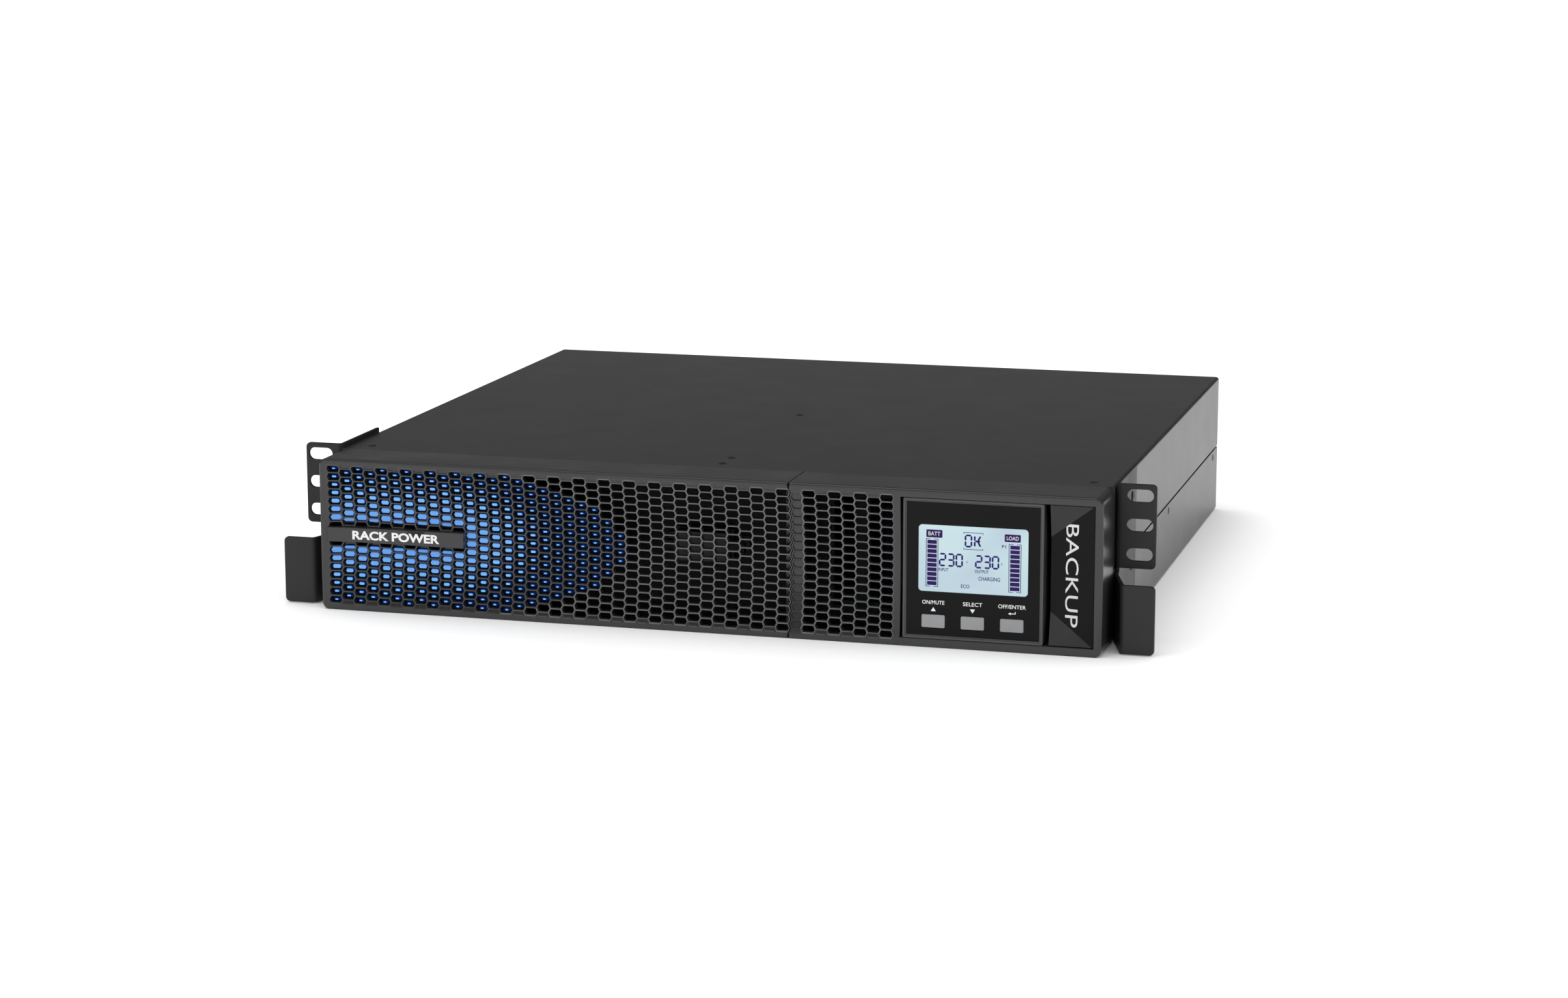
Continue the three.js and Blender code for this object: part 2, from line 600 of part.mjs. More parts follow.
function batterySocket() {
  const back = CHASSIS_FRONT + 1 - GAP;
  const body = slab(PLUG.x, PLUG.z, PLUG.width, PLUG.height, back - 9, back);
  const ears = slab(PLUG.x, PLUG.z, PLUG.width + 14, 8, back - 2.5, back);
  return join(body, ears);
}

function batteryPlug() {
  const back = CHASSIS_FRONT + 1 - GAP - 9 - GAP;
  const body = slab(PLUG.x, PLUG.z, PLUG.width - 2, PLUG.height - 1, back - 9, back);
  const leads = rodX(3, back - 5, PLUG.z, PLUG.x - 24, PLUG.x + 24, 8);
  return join(body, leads);
}

place(battery, 'battery_socket', batterySocket(), material.connectorGrey);
place(battery, 'battery_plug', batteryPlug(), material.connectorGrey);

// ---------------------------------------------------------------- electronics

const BOARD_TOP = BOARD_LOW + 1.6;
const ON_BOARD = BOARD_TOP + GAP;

function mainBoard() {
  return block(-42, 208, -150, 165, BOARD_LOW, BOARD_TOP);
}

function heatsink(x) {
  const [width, base, height, fins] = [44, 4, 56, 7];
  const pitch = (width - 2) / (fins - 1);
  const foot = block(x, x + width, -60, 60, ON_BOARD, ON_BOARD + base);
  const [low, high] = [ON_BOARD + base - 1, ON_BOARD + height];
  const blades = range(fins).map((i) => block(x + i * pitch, x + i * pitch + 2, -60, 60, low, high));
  return join(foot, ...blades);
}

const CORE = { x: 90, y: 100, width: 66, depth: 36, height: 54, limb: 18, window: 13, yoke: 11 };

function transformerCore() {
  const { x, y, width, depth, height, limb, window, yoke } = CORE;
  const [y0, y1] = [y - depth / 2, y + depth / 2];
  const body = block(x - width / 2, x + width / 2, y0, y1, ON_BOARD, ON_BOARD + height);
  const windows = [-1, 1].map((side) => slab(x + side * (limb + window) / 2, ON_BOARD + height / 2,
    window, height - 2 * yoke, y0 - 1, y1 + 1));
  return cut(body, ...windows);
}

function transformerCoil() {
  const { x, y, depth, height, limb, window, yoke } = CORE;
  const [low, high] = [ON_BOARD + yoke + GAP, ON_BOARD + height - yoke - GAP];
  const outerX = limb / 2 + window - GAP;
  const innerX = limb / 2 + GAP;
  const outerY = depth / 2 + window - 1;
  const innerY = depth / 2 + GAP;
  return cut(block(x - outerX, x + outerX, y - outerY, y + outerY, low, high),
    block(x - innerX, x + innerX, y - innerY, y + innerY, low - 1, high + 1));
}

function filterChoke() {
  const ring = rodZ(24, 10, 110, ON_BOARD, ON_BOARD + 26, 20);
  return cut(ring, rodZ(10, 10, 110, ON_BOARD - 1, ON_BOARD + 27, 20));
}

const electronics = group();
place(electronics, 'main_board', mainBoard(), material.board);
place(electronics, 'heatsink_left', heatsink(-36), material.aluminium);
place(electronics, 'heatsink_right', heatsink(158), material.aluminium);
place(electronics, 'transformer_core', transformerCore(), material.ferrite);
place(electronics, 'transformer_coil', transformerCoil(), material.copper);
place(electronics, 'filter_choke', filterChoke(), material.copper);
range(3).forEach((i) => {
  const can = rodZ(15, 90 + i * 36, -115, ON_BOARD, ON_BOARD + 50, 16);
  place(electronics, `bus_capacitor_${i + 1}`, can, material.capacitor);
});
place(electronics, 'control_board', block(34, 36, -60, 60, ON_BOARD, 76), material.board);

// ---------------------------------------------------------------- rear panel

const OUTLETS = { x: -12, pitch: 31, count: 4, heights: { upper: 61, lower: 26 } };
const OUTLET = { width: 24.5, height: 16.5, depth: 15, chamfer: 4.5, core: 3.2 };
const INLET = { x: 97, z: 61 };
const BREAKER = { x: 97, z: 26, body: 7, bore: 4.4, button: 4, nut: 9.5, travel: 4 };
const USB = { x: -116, z: 20 };
const SERIAL = { x: -150, z: 20 };
const OPTION_SLOT = { x: -133, z: 56, width: 64, height: 30 };
const EXPANSION = { x: -193, z: 56 };
const EARTH = { x: -192, z: 20 };
const FLANGE_PLATE = 1.6;
const FLANGE_FACE = PANEL_OUTER + GAP + FLANGE_PLATE;

function chamferedOutline(x, z, width, height, chamfer) {
  // A mains connector's outline: two corners cut off on the earth pin's side.
  const [w, h] = [width / 2, height / 2];
  return polygon([[x - w, z - h], [x + w, z - h], [x + w, z + h - chamfer],
    [x + w - chamfer, z + h], [x - w + chamfer, z + h], [x - w, z + h - chamfer]]);
}

const outletX = (index) => OUTLETS.x + (index - (OUTLETS.count - 1) / 2) * OUTLETS.pitch;
const STRIP_WIDTH = OUTLETS.count * OUTLETS.pitch;

function outletStrip(z) {
  const flange = slab(OUTLETS.x, z, STRIP_WIDTH, 24, PANEL_OUTER + GAP, FLANGE_FACE);
  const back = FLANGE_FACE - OUTLET.depth - 4;
  const body = slab(OUTLETS.x, z, STRIP_WIDTH - 4, 21, back, PANEL_OUTER + GAP + 0.5);
  const sockets = range(OUTLETS.count).map((index) => {
    const mouth = prismY(chamferedOutline(outletX(index), z, OUTLET.width, OUTLET.height, OUTLET.chamfer),
      FLANGE_FACE - OUTLET.depth, FLANGE_FACE + 1);
    const coreOutline = chamferedOutline(outletX(index), z, OUTLET.width - 2 * OUTLET.core,
      OUTLET.height - 2 * OUTLET.core, OUTLET.chamfer - 1);
    const core = prismY(coreOutline, FLANGE_FACE - OUTLET.depth - 1, FLANGE_FACE - 0.5);
    return cut(mouth, core);
  });
  return cut(join(flange, body), ...sockets);
}

function powerInlet() {
  const { x, z } = INLET;
  const flange = slab(x, z, 32, 25, PANEL_OUTER + GAP, FLANGE_FACE);
  const body = slab(x, z, 28, 21, FLANGE_FACE - 22, PANEL_OUTER + GAP + 0.5);
  const depth = 18;
  const mouth = chamferedOutline(x, z, OUTLET.width, OUTLET.height, OUTLET.chamfer);
  const recess = prismY(mouth, FLANGE_FACE - depth, FLANGE_FACE + 1);
  const pins = [[-7, -2], [0, 2], [7, -2]].map(([dx, dz]) => slab(x + dx, z + dz, 2, 4,
    FLANGE_FACE - depth - 1, FLANGE_FACE - 6));
  return join(cut(flange.add(body), recess), ...pins);
}

function breakerBody() {
  const { x, z, body, bore, nut } = BREAKER;
  const barrel = rodY(body, x, z, PANEL_INNER - 22, FLANGE_FACE + 0.6, 16);
  const hexNut = rodY(nut, x, z, PANEL_OUTER + GAP, FLANGE_FACE + 0.2, 6);
  return cut(join(barrel, hexNut), rodY(bore, x, z, PANEL_INNER - 12, FLANGE_FACE + 2, 16));
}

function breakerButton() {
  const { x, z, button } = BREAKER;
  return rodY(button, x, z, PANEL_INNER - 11, FLANGE_FACE + 1.4, 16);
}

function usbPort() {
  const { x, z } = USB;
  const shell = slab(x, z, 12, 11, PANEL_INNER - 12, PANEL_OUTER + 1.2);
  return cut(shell, slab(x, z, 8.4, 7.6, PANEL_OUTER - 9, PANEL_OUTER + 2));
}

function serialPort() {
  const { x, z } = SERIAL;
  const shape = (grow) => polygon([[x - 7.2 - grow, z - 4 - grow], [x + 7.2 + grow, z - 4 - grow],
    [x + 8.6 + grow, z + 4 + grow], [x - 8.6 - grow, z + 4 + grow]]);
  const flange = slab(x, z, 31, 12.6, PANEL_OUTER + GAP, PANEL_OUTER + GAP + 0.8);
  const body = slab(x, z, 20, 11, PANEL_INNER - 8, PANEL_OUTER + GAP + 0.4);
  const shell = prismY(shape(0.6), PANEL_OUTER, REAR - 0.2);
  return cut(join(flange, body, shell), prismY(shape(0), PANEL_OUTER - 5, REAR + 1));
}

function optionSlotCover() {
  const { x, z, width, height } = OPTION_SLOT;
  return slab(x, z, width, height, PANEL_OUTER + GAP, PANEL_OUTER + GAP + SHEET);
}

function expansionSocket() {
  const { x, z } = EXPANSION;
  const flange = slab(x, z, 38, 26, PANEL_OUTER + GAP, FLANGE_FACE);
  const body = slab(x, z, 34, 20, PANEL_INNER - 20, PANEL_OUTER + GAP + 0.5);
  const contacts = [-8.5, 8.5].map((dx) => slab(x + dx, z, 13, 13, FLANGE_FACE - 16, FLANGE_FACE + 1));
  return cut(join(flange, body), ...contacts);
}

function earthScrew() {
  const { x, z } = EARTH;
  const head = rodY(4.2, x, z, PANEL_OUTER + GAP, PANEL_OUTER + GAP + 2.6, 12);
  return join(head, rodY(2, x, z, PANEL_INNER - 5, PANEL_OUTER + 1, 8));
}

function rearPanel() {
  const edge = SHEET + GAP;
  const [y0, y1] = [PANEL_INNER - 1, PANEL_OUTER + 1];
  const sheet = block(-HALF + edge, HALF - edge, PANEL_INNER, PANEL_OUTER, edge, HEIGHT - edge);
  const openings = [
    rodY(FAN_SIZE / 2 - 2.5, FAN_X, MIDDLE, y0, y1, 24),
    ...Object.values(OUTLETS.heights).map((z) => slab(OUTLETS.x, z, STRIP_WIDTH - 3, 22, y0, y1)),
    slab(INLET.x, INLET.z, 29, 22, y0, y1),
    rodY(BREAKER.body + GAP, BREAKER.x, BREAKER.z, y0, y1, 16),
    slab(USB.x, USB.z, 12.8, 11.8, y0, y1),
    slab(SERIAL.x, SERIAL.z, 21, 12, y0, y1),
    slab(OPTION_SLOT.x, OPTION_SLOT.z, OPTION_SLOT.width - 10, OPTION_SLOT.height - 8, y0, y1),
    slab(EXPANSION.x, EXPANSION.z, 35, 21, y0, y1),
    rodY(2.5, EARTH.x, EARTH.z, y0, y1, 8),
  ];
  return cut(sheet, ...openings);
}

const rear = group();
place(rear, 'rear_panel', rearPanel(), material.blackSheet);
for (const [level, z] of Object.entries(OUTLETS.heights)) {
  place(rear, `${level}_outlet_strip`, outletStrip(z), material.socket);
}
place(rear, 'power_inlet', powerInlet(), material.socket);
place(rear, 'breaker_body', breakerBody(), material.socket);
place(rear, 'breaker_button', breakerButton(), material.resetRed);
place(rear, 'usb_port', usbPort(), material.bright);
place(rear, 'serial_port', serialPort(), material.bright);
place(rear, 'option_slot_cover', optionSlotCover(), material.blackSheet);
place(rear, 'expansion_socket', expansionSocket(), material.socket);
place(rear, 'earth_screw', earthScrew(), material.bright);

// ---------------------------------------------------------------- fan
// Built around its own axis: X and Z from the axis, Y from the frame's front face.

const FAN_BORE = FAN_SIZE / 2 - 2;
const FAN_HUB = 17;
const fan = group();
fan.position.set(FAN_X, PANEL_INNER - GAP - FAN_DEPTH, MIDDLE);

function fanFrame() {
  const body = slab(0, 0, FAN_SIZE, FAN_SIZE, 0, FAN_DEPTH);
  const bore = rodY(FAN_BORE, 0, 0, -1, FAN_DEPTH + 1, 24);
  const stator = rodY(FAN_HUB, 0, 0, FAN_DEPTH - 4, FAN_DEPTH, 16);
  const length = 2 * FAN_BORE + 2;
  const arms = [[length, 3], [3, length]].map(([w, h]) => slab(0, 0, w, h, FAN_DEPTH - 4, FAN_DEPTH));
  return join(cut(body, bore), stator, ...arms);
}

function fanRotor() {
  const [blades, tip, chord, thickness, pitch] = [7, FAN_BORE - 2, 20, 1.4, Math.PI / 5];
  const hub = rodY(FAN_HUB, 0, 0, 2, FAN_DEPTH - 5, 16);
  const wings = range(blades).map((i) => {
    const wing = new THREE.BoxGeometry(tip - FAN_HUB + 2, chord, thickness);
    wing.rotateX(pitch);
    wing.translate((tip + FAN_HUB - 2) / 2, 11, 0);
    wing.rotateY((i / blades) * 2 * Math.PI);
    return toSolid(wing);
  });
  return join(hub, ...wings);
}

function fanGuard() {
  const wire = 1.4;
  const back = FAN_DEPTH + GAP + SHEET + GAP;
  const ring = (radius) => ringY(radius - wire / 2, radius + wire / 2, 0, 0, back, back + wire, 20);
  const rings = [13, 25, 37].map(ring);
  const spokes = [Math.PI / 4, -Math.PI / 4].map((angle) => {
    const bar = new THREE.BoxGeometry(98, wire, 2);
    return toSolid(bar.translate(0, back + wire, 0).rotateY(angle));
  });
  return join(...rings, ...spokes);
}

place(fan, 'fan_frame', fanFrame(), material.fan);
place(fan, 'fan_rotor', fanRotor(), material.fan);
place(fan, 'fan_guard', fanGuard(), material.bright);

export default unit;
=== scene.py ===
"""A rack-mounted backup power unit, two rack units high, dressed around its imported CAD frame.

Lengths are millimetres until finish_piece() scales a mesh to metres. +X is to the right seen from
the front, -Y is the front, +Z is up, as in the CAD.
"""

import json
import math

import bmesh
import bpy
from mathutils import Matrix, Vector


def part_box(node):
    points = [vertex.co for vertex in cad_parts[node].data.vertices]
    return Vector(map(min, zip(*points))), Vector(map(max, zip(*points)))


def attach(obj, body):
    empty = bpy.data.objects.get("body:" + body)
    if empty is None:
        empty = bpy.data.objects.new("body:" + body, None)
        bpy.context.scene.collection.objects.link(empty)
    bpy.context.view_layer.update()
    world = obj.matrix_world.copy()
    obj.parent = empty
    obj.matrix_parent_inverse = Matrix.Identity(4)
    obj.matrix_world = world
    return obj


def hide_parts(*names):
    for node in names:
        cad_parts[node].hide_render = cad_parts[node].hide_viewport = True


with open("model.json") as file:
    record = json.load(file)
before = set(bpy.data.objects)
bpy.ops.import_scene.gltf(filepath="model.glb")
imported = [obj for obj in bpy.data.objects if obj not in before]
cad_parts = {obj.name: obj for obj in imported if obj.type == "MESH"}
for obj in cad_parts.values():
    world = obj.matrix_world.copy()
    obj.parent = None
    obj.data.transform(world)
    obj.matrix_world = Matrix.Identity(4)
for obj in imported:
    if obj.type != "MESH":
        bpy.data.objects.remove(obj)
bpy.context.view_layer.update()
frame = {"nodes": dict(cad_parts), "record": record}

MM = 0.001


def box_mm(node):
    """The corners of a CAD node's box, in millimetres."""
    low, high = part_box(node)
    return low / MM, high / MM


def middle_of(node):
    """X and Z of the middle of a CAD node, and where it begins and ends along Y."""
    low, high = box_mm(node)
    return (low.x + high.x) / 2, (low.z + high.z) / 2, low.y, high.y


def add_object(name, data):
    thing = bpy.data.objects.new(name, data)
    bpy.context.scene.collection.objects.link(thing)
    return thing


# ---------------------------------------------------------------- camera

camera_data = bpy.data.cameras.new("camera")
camera = add_object("camera", camera_data)
camera.location = (0.5217, -1.9343, 0.4306)
camera.rotation_euler = (math.radians(78.81), 0, math.radians(15.353))
camera_data.sensor_width = 36
camera_data.lens = 78.88
bpy.context.scene.camera = camera

# ---------------------------------------------------------------- floor and light

bpy.context.scene.view_settings.view_transform = "Standard"
bpy.context.scene.view_settings.look = "None"

world = bpy.data.worlds.new("studio")
bpy.context.scene.world = world
world.use_nodes = True
world.node_tree.nodes["Background"].inputs["Color"].default_value = (1, 1, 1, 1)
world.node_tree.nodes["Background"].inputs["Strength"].default_value = 1.25
world.cycles_visibility.glossy = False


def soft_light(name, place, aim, size, watts):
    """A rectangular light that looks at aim."""
    data = bpy.data.lights.new(name, "AREA")
    data.shape = "RECTANGLE"
    data.size, data.size_y = size
    data.energy = watts
    light = add_object(name, data)
    light.location = place
    light.rotation_euler = (Vector(aim) - Vector(place)).to_track_quat("-Z", "Y").to_euler()


soft_light("top_softbox", (-0.5, -0.3, 2.6), (0, 0, 0), (1.6, 1.0), 13)
soft_light("front_softbox", (-0.6, -3.0, 2.2), (0, 0, 0), (2.4, 1.6), 6)
soft_light("back_softbox", (-0.9, 3.6, 0.52), (0, 0.1, 0.1), (3.0, 0.5), 2.2)

# ---------------------------------------------------------------- materials


def colour(code):
    """A linear colour from its usual six digits."""
    channels = [int(code[i:i + 2], 16) / 255 for i in (1, 3, 5)]
    linear = [c / 12.92 if c <= 0.04045 else ((c + 0.055) / 1.055) ** 2.4 for c in channels]
    return (*linear, 1)


LOOKS = {}
GRAIN_DEPTH = 0.05


def new_look(name, **sockets):
    """A new material in LOOKS: its node tree and its shader."""
    material = bpy.data.materials.new(name)
    material.use_nodes = True
    shader = material.node_tree.nodes["Principled BSDF"]
    for socket, value in sockets.items():
        shader.inputs[socket.replace("_", " ")].default_value = value
    LOOKS[name] = material
    return material.node_tree, shader


def add_node(tree, kind, feeds, **values):
    """A node, what feeds its sockets, and the values of its other sockets."""
    node = tree.nodes.new("ShaderNode" + kind)
    for socket, value in values.items():
        node.inputs[socket.replace("_", " ")].default_value = value
    feed(tree, node, **feeds)
    return node


def feed(tree, node, **sources):
    for socket, source in sources.items():
        tree.links.new(source, node.inputs[socket.replace("_", " ")])


def coordinates(tree):
    """Real lengths on the piece, in metres."""
    return tree.nodes.new("ShaderNodeTexCoord").outputs["Object"]


def noise(tree, vector, scale, detail=3.0):
    return add_node(tree, "TexNoise", {"Vector": vector}, Scale=scale, Detail=detail).outputs["Fac"]


def ramp(tree, value, stops):
    """Colours at places from 0 to 1."""
    node = add_node(tree, "ValToRGB", {"Fac": value})
    elements = node.color_ramp.elements
    while len(elements) < len(stops):
        elements.new(0.5)
    for element, (place, shade) in zip(elements, stops):
        element.position = place
        element.color = colour(shade)
    return node.outputs["Color"]


def spread(tree, value, low, high):
    """The middle of a noise's range, widened to go from low to high."""
    node = add_node(tree, "MapRange", {"Value": value}, From_Min=0.3, From_Max=0.7, To_Min=low, To_Max=high)
    return node.outputs["Result"]


def relief(tree, shader, height, strength, depth=GRAIN_DEPTH):
    """Fine relief, depth in millimetres."""
    node = add_node(tree, "Bump", {"Height": height}, Strength=strength, Distance=depth * MM)
    feed(tree, shader, Normal=node.outputs["Normal"])


def grained(name, dark, light, roughness, cloud=40, grain=1500, bump=0.15, **sockets):
    """Cloudy colour and roughness, with a finer grain as relief."""
    tree, shader = new_look(name, **sockets)
    vector = coordinates(tree)
    clouds = noise(tree, vector, cloud)
    feed(tree, shader, Base_Color=ramp(tree, clouds, [(0.3, dark), (0.7, light)]),
         Roughness=spread(tree, clouds, *roughness))
    relief(tree, shader, noise(tree, vector, grain, 2.0), bump)


def banded(name, dark, light, roughness, scale, axis, bump, depth=0.1, distortion=0.3, **sockets):
    """Parallel bands, for wire turns, stacked plates and brushed metal."""
    tree, shader = new_look(name, **sockets)
    vector = coordinates(tree)
    wave = add_node(tree, "TexWave", {"Vector": vector}, Scale=scale, Distortion=distortion)
    wave.bands_direction = axis
    bands = wave.outputs["Fac"]
    feed(tree, shader, Base_Color=ramp(tree, bands, [(0.1, dark), (0.9, light)]),
         Roughness=spread(tree, noise(tree, vector, 60), *roughness))
    relief(tree, shader, bands, bump, depth)


def spangled(name, dark, light, roughness):
    """Zinc-coated steel with its crystal flakes."""
    tree, shader = new_look(name, Metallic=0.85)
    vector = coordinates(tree)
    flakes = add_node(tree, "TexVoronoi", {"Vector": vector}, Scale=160)
    split = add_node(tree, "SeparateColor", {"Color": flakes.outputs["Color"]})
    feed(tree, shader, Base_Color=ramp(tree, split.outputs["Red"], [(0, dark), (1, light)]),
         Roughness=spread(tree, split.outputs["Green"], *roughness))
    relief(tree, shader, noise(tree, vector, 900), 0.1, 0.03)


def circuit_board(name):
    """Green solder mask over copper tracks."""
    tree, shader = new_look(name, Coat_Weight=0.4, Coat_Roughness=0.2)
    vector = coordinates(tree)
    tracks = add_node(tree, "TexBrick", {"Vector": vector}, Scale=60, Mortar_Size=0.035,
                      Color1=colour("#12462a"), Color2=colour("#1a5735"), Mortar=colour("#2f7d45"))
    feed(tree, shader, Base_Color=tracks.outputs["Color"],
         Roughness=spread(tree, noise(tree, vector, 300), 0.35, 0.55))
    relief(tree, shader, tracks.outputs["Fac"], 0.3)


def backlit(name, stops, strength, dark, cloud):
    """A dark pane lit from behind, whose light and colour drift across it."""
    tree, shader = new_look(name, Emission_Strength=strength, Base_Color=colour(dark))
    vector = coordinates(tree)
    feed(tree, shader, Emission_Color=ramp(tree, noise(tree, vector, cloud, 1.0), stops),
         Roughness=spread(tree, noise(tree, vector, 400), 0.25, 0.35))


def studs_with_painted_light(name):
    """Blue plastic with painted light: an emitted glow paints each stud's face bright, with a painted
    highlight, and paints shade down to nearly black at its foot.
    """
    tree, shader = new_look(name, Roughness=0.16, Emission_Strength=0.56)
    painted_light = tree.nodes.new("ShaderNodeAttribute")
    painted_light.attribute_name = "painted_light"
    # Painted light: emission runs from near black at the foot, through painted shade, to a painted highlight
    # on the face.
    painted_light_stops = [(0.0, "#000103"), (0.25, "#020a20"), (0.42, "#06215c"), (0.62, "#1c5fc4"), (0.74, "#5f9fee"),
           (0.93, "#a9f0ff")]
    # The base colour follows the same painted light value, dark at the foot.
    body = [(0.0, "#040507"), (0.5, "#0a1f4a"), (1.0, "#2c62b0")]
    feed(tree, shader, Base_Color=ramp(tree, painted_light.outputs["Fac"], body),
         Emission_Color=ramp(tree, painted_light.outputs["Fac"], painted_light_stops))
    relief(tree, shader, noise(tree, coordinates(tree), 1200), 0.1)


# Looks named after the record's material slots.
grained("black_sheet", "#2a2a2b", "#2d2d2e", (0.32, 0.345), grain=2600, bump=0.1)
spangled("zinc_sheet", "#85888b", "#a3a6a9", (0.3, 0.5))
grained("bezel_plastic", "#2c2c2c", "#303030", (0.27, 0.33), grain=3000, bump=0.12)
studs_with_painted_light("accent_blue")
grained("gloss_black", "#0b0b0c", "#0e0d0f", (0.1, 0.14), grain=500, bump=0.02, Specular_IOR_Level=0.12)
grained("frame_grey", "#3b3b3c", "#424243", (0.28, 0.36), grain=2500, bump=0.1)
grained("key_grey", "#828384", "#8c8d8e", (0.45, 0.55), grain=2500, bump=0.1)
backlit("lcd", [(0.35, "#b0c3d2"), (0.5, "#bcd3db"), (0.7, "#cbe4e5")], 1.0, "#20262a", 22)
circuit_board("board_green")
grained("battery_case", "#1c1d1f", "#25262a", (0.5, 0.65), grain=1800, bump=0.3)
grained("connector_grey", "#1c1d1f", "#242528", (0.4, 0.5), grain=2500)
banded("heatsink_aluminium", "#8f9296", "#b4b7ba", (0.3, 0.4), 900, "Y", 0.1, 0.02, 4, Metallic=0.9)
banded("winding_copper", "#5c2c10", "#b86a35", (0.25, 0.4), 260, "Z", 0.8, 0.4, Metallic=0.8)
banded("core_ferrite", "#232427", "#3d3e42", (0.6, 0.8), 420, "Y", 0.4)
grained("capacitor_sleeve", "#10182b", "#1b2744", (0.25, 0.35), grain=800, bump=0.05)
grained("fan_black", "#101011", "#161617", (0.4, 0.5), grain=2500)
grained("bright_metal", "#a9abae", "#c6c8ca", (0.2, 0.35), cloud=200, bump=0.05, Metallic=1.0)
grained("socket_black", "#0f0f10", "#161617", (0.4, 0.55), grain=2200, bump=0.2)
grained("reset_red", "#8e2414", "#a52e1c", (0.35, 0.45), grain=2000)
# Looks of single faces and pieces, and of the floor.
# The end panel's slanted facets: lighter copies of gloss_black, painted light; the lower facet is lighter
# still.
grained("upper_facet_painted_light", "#1a1a1b", "#1f1f20", (0.26, 0.32), grain=2500, bump=0.08, Specular_IOR_Level=0.4)
grained("lower_facet_painted_light", "#303031", "#363637", (0.26, 0.32), grain=2500, bump=0.08)
grained("ear_sheet", "#242425", "#282829", (0.42, 0.5), grain=2600, bump=0.1, Specular_IOR_Level=0.3)
# Lighter copies of bezel_plastic for the grille's webs, painted highlight; the lobe's copy is dimmer.
grained("grille_web_painted_highlight", "#555556", "#5e5e5f", (0.27, 0.33), grain=3000, bump=0.12)
grained("lobe_web_weaker_painted_highlight", "#3a3a3b", "#414142", (0.27, 0.33), grain=3000, bump=0.12)
# Near-black for what is seen only through openings and gaps: painted shade.
grained("painted_shade_black", "#18181a", "#1f1f21", (0.5, 0.6), bump=0.1, Specular_IOR_Level=0.15)
grained("white_print", "#d2d2d2", "#e2e2e2", (0.45, 0.55), grain=2000, bump=0.05)
grained("silver_print", "#c4c4c4", "#d8d8d8", (0.3, 0.4), grain=2000, bump=0.05, Metallic=0.3)
grained("lcd_ink", "#160d58", "#1c1168", (0.4, 0.5), bump=0.02, Specular_IOR_Level=0.2)
grained("lcd_bar_ink", "#1f0748", "#2a0a58", (0.4, 0.5), bump=0.02, Specular_IOR_Level=0.2)
grained("floor", "#f0f0f0", "#f3f3f3", (0.9, 1.0), cloud=3, grain=90, bump=0.02, Specular_IOR_Level=0.0)

floor_mesh = bpy.data.meshes.new("floor")
REACH = 30
floor_mesh.from_pydata([(-REACH, -REACH, 0), (REACH, -REACH, 0), (REACH, REACH, 0), (-REACH, REACH, 0)],
                       [], [(0, 1, 2, 3)])
floor_mesh.materials.append(LOOKS["floor"])
floor = add_object("floor", floor_mesh)

# ---------------------------------------------------------------- mesh tools


def finish_piece(name, bm, look, body, stands_for=(), slot=None, angle=35, merge=True):
    """Scales the mesh to metres, closes it up and puts the piece on its body. The slot argument is not used."""
    slot = slot or look
    if merge:
        bmesh.ops.remove_doubles(bm, verts=bm.verts, dist=1e-4)
    bmesh.ops.recalc_face_normals(bm, faces=bm.faces)
    mesh = bpy.data.meshes.new(name)
    bm.to_mesh(mesh)
    bm.free()
    mesh.transform(Matrix.Scale(MM, 4))
    mesh.polygons.foreach_set("use_smooth", [True] * len(mesh.polygons))
    mesh.set_sharp_from_angle(angle=math.radians(angle))
    mesh.materials.append(LOOKS[look])
    piece = add_object(name, mesh)
    piece.modifiers.new("level_flats", "WEIGHTED_NORMAL").keep_sharp = True
    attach(piece, body)
    if stands_for:
        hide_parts(*stands_for)
    return piece


def front_view(u, v, d):
    """An outline in X and Z, with its depth along Y."""
    return (u, d, v)


def side_view(u, v, d):
    """An outline in Y and Z, with its depth along X."""
    return (d, u, v)


def top_view(u, v, d):
    """An outline in X and Y, with its depth along Z."""
    return (u, v, d)


def area(loop):
    return sum(a[0] * b[1] - b[0] * a[1] for a, b in zip(loop, loop[1:] + loop[:1])) / 2


def grown(loop, distance):
    """The loop with every side pushed outward by distance."""
    turn = 1 if area(loop) > 0 else -1
    moved = []
    for i, (u, v) in enumerate(loop):
        before = Vector((u, v)) - Vector(loop[i - 1])
        after = Vector(loop[(i + 1) % len(loop)]) - Vector((u, v))
        a = Vector((before.y, -before.x)).normalized() * turn
        b = Vector((after.y, -after.x)).normalized() * turn
        mitre = (a + b) / max(0.3, 1 + a.dot(b)) * distance
        moved.append((u + mitre.x, v + mitre.y))
    return moved


def add_skin(bm, rings):
    """Faces between rings of corners that follow each other."""
    for near, far in zip(rings, rings[1:]):
        for i in range(len(near)):
            bm.faces.new((near[i - 1], near[i], far[i], far[i - 1]))


def rim_of(bm, ring):
    return [bm.edges.get((ring[i - 1], ring[i])) for i in range(len(ring))]


def fill(bm, edges):
    bmesh.ops.triangle_fill(bm, use_beauty=True, use_dissolve=False, edges=edges)


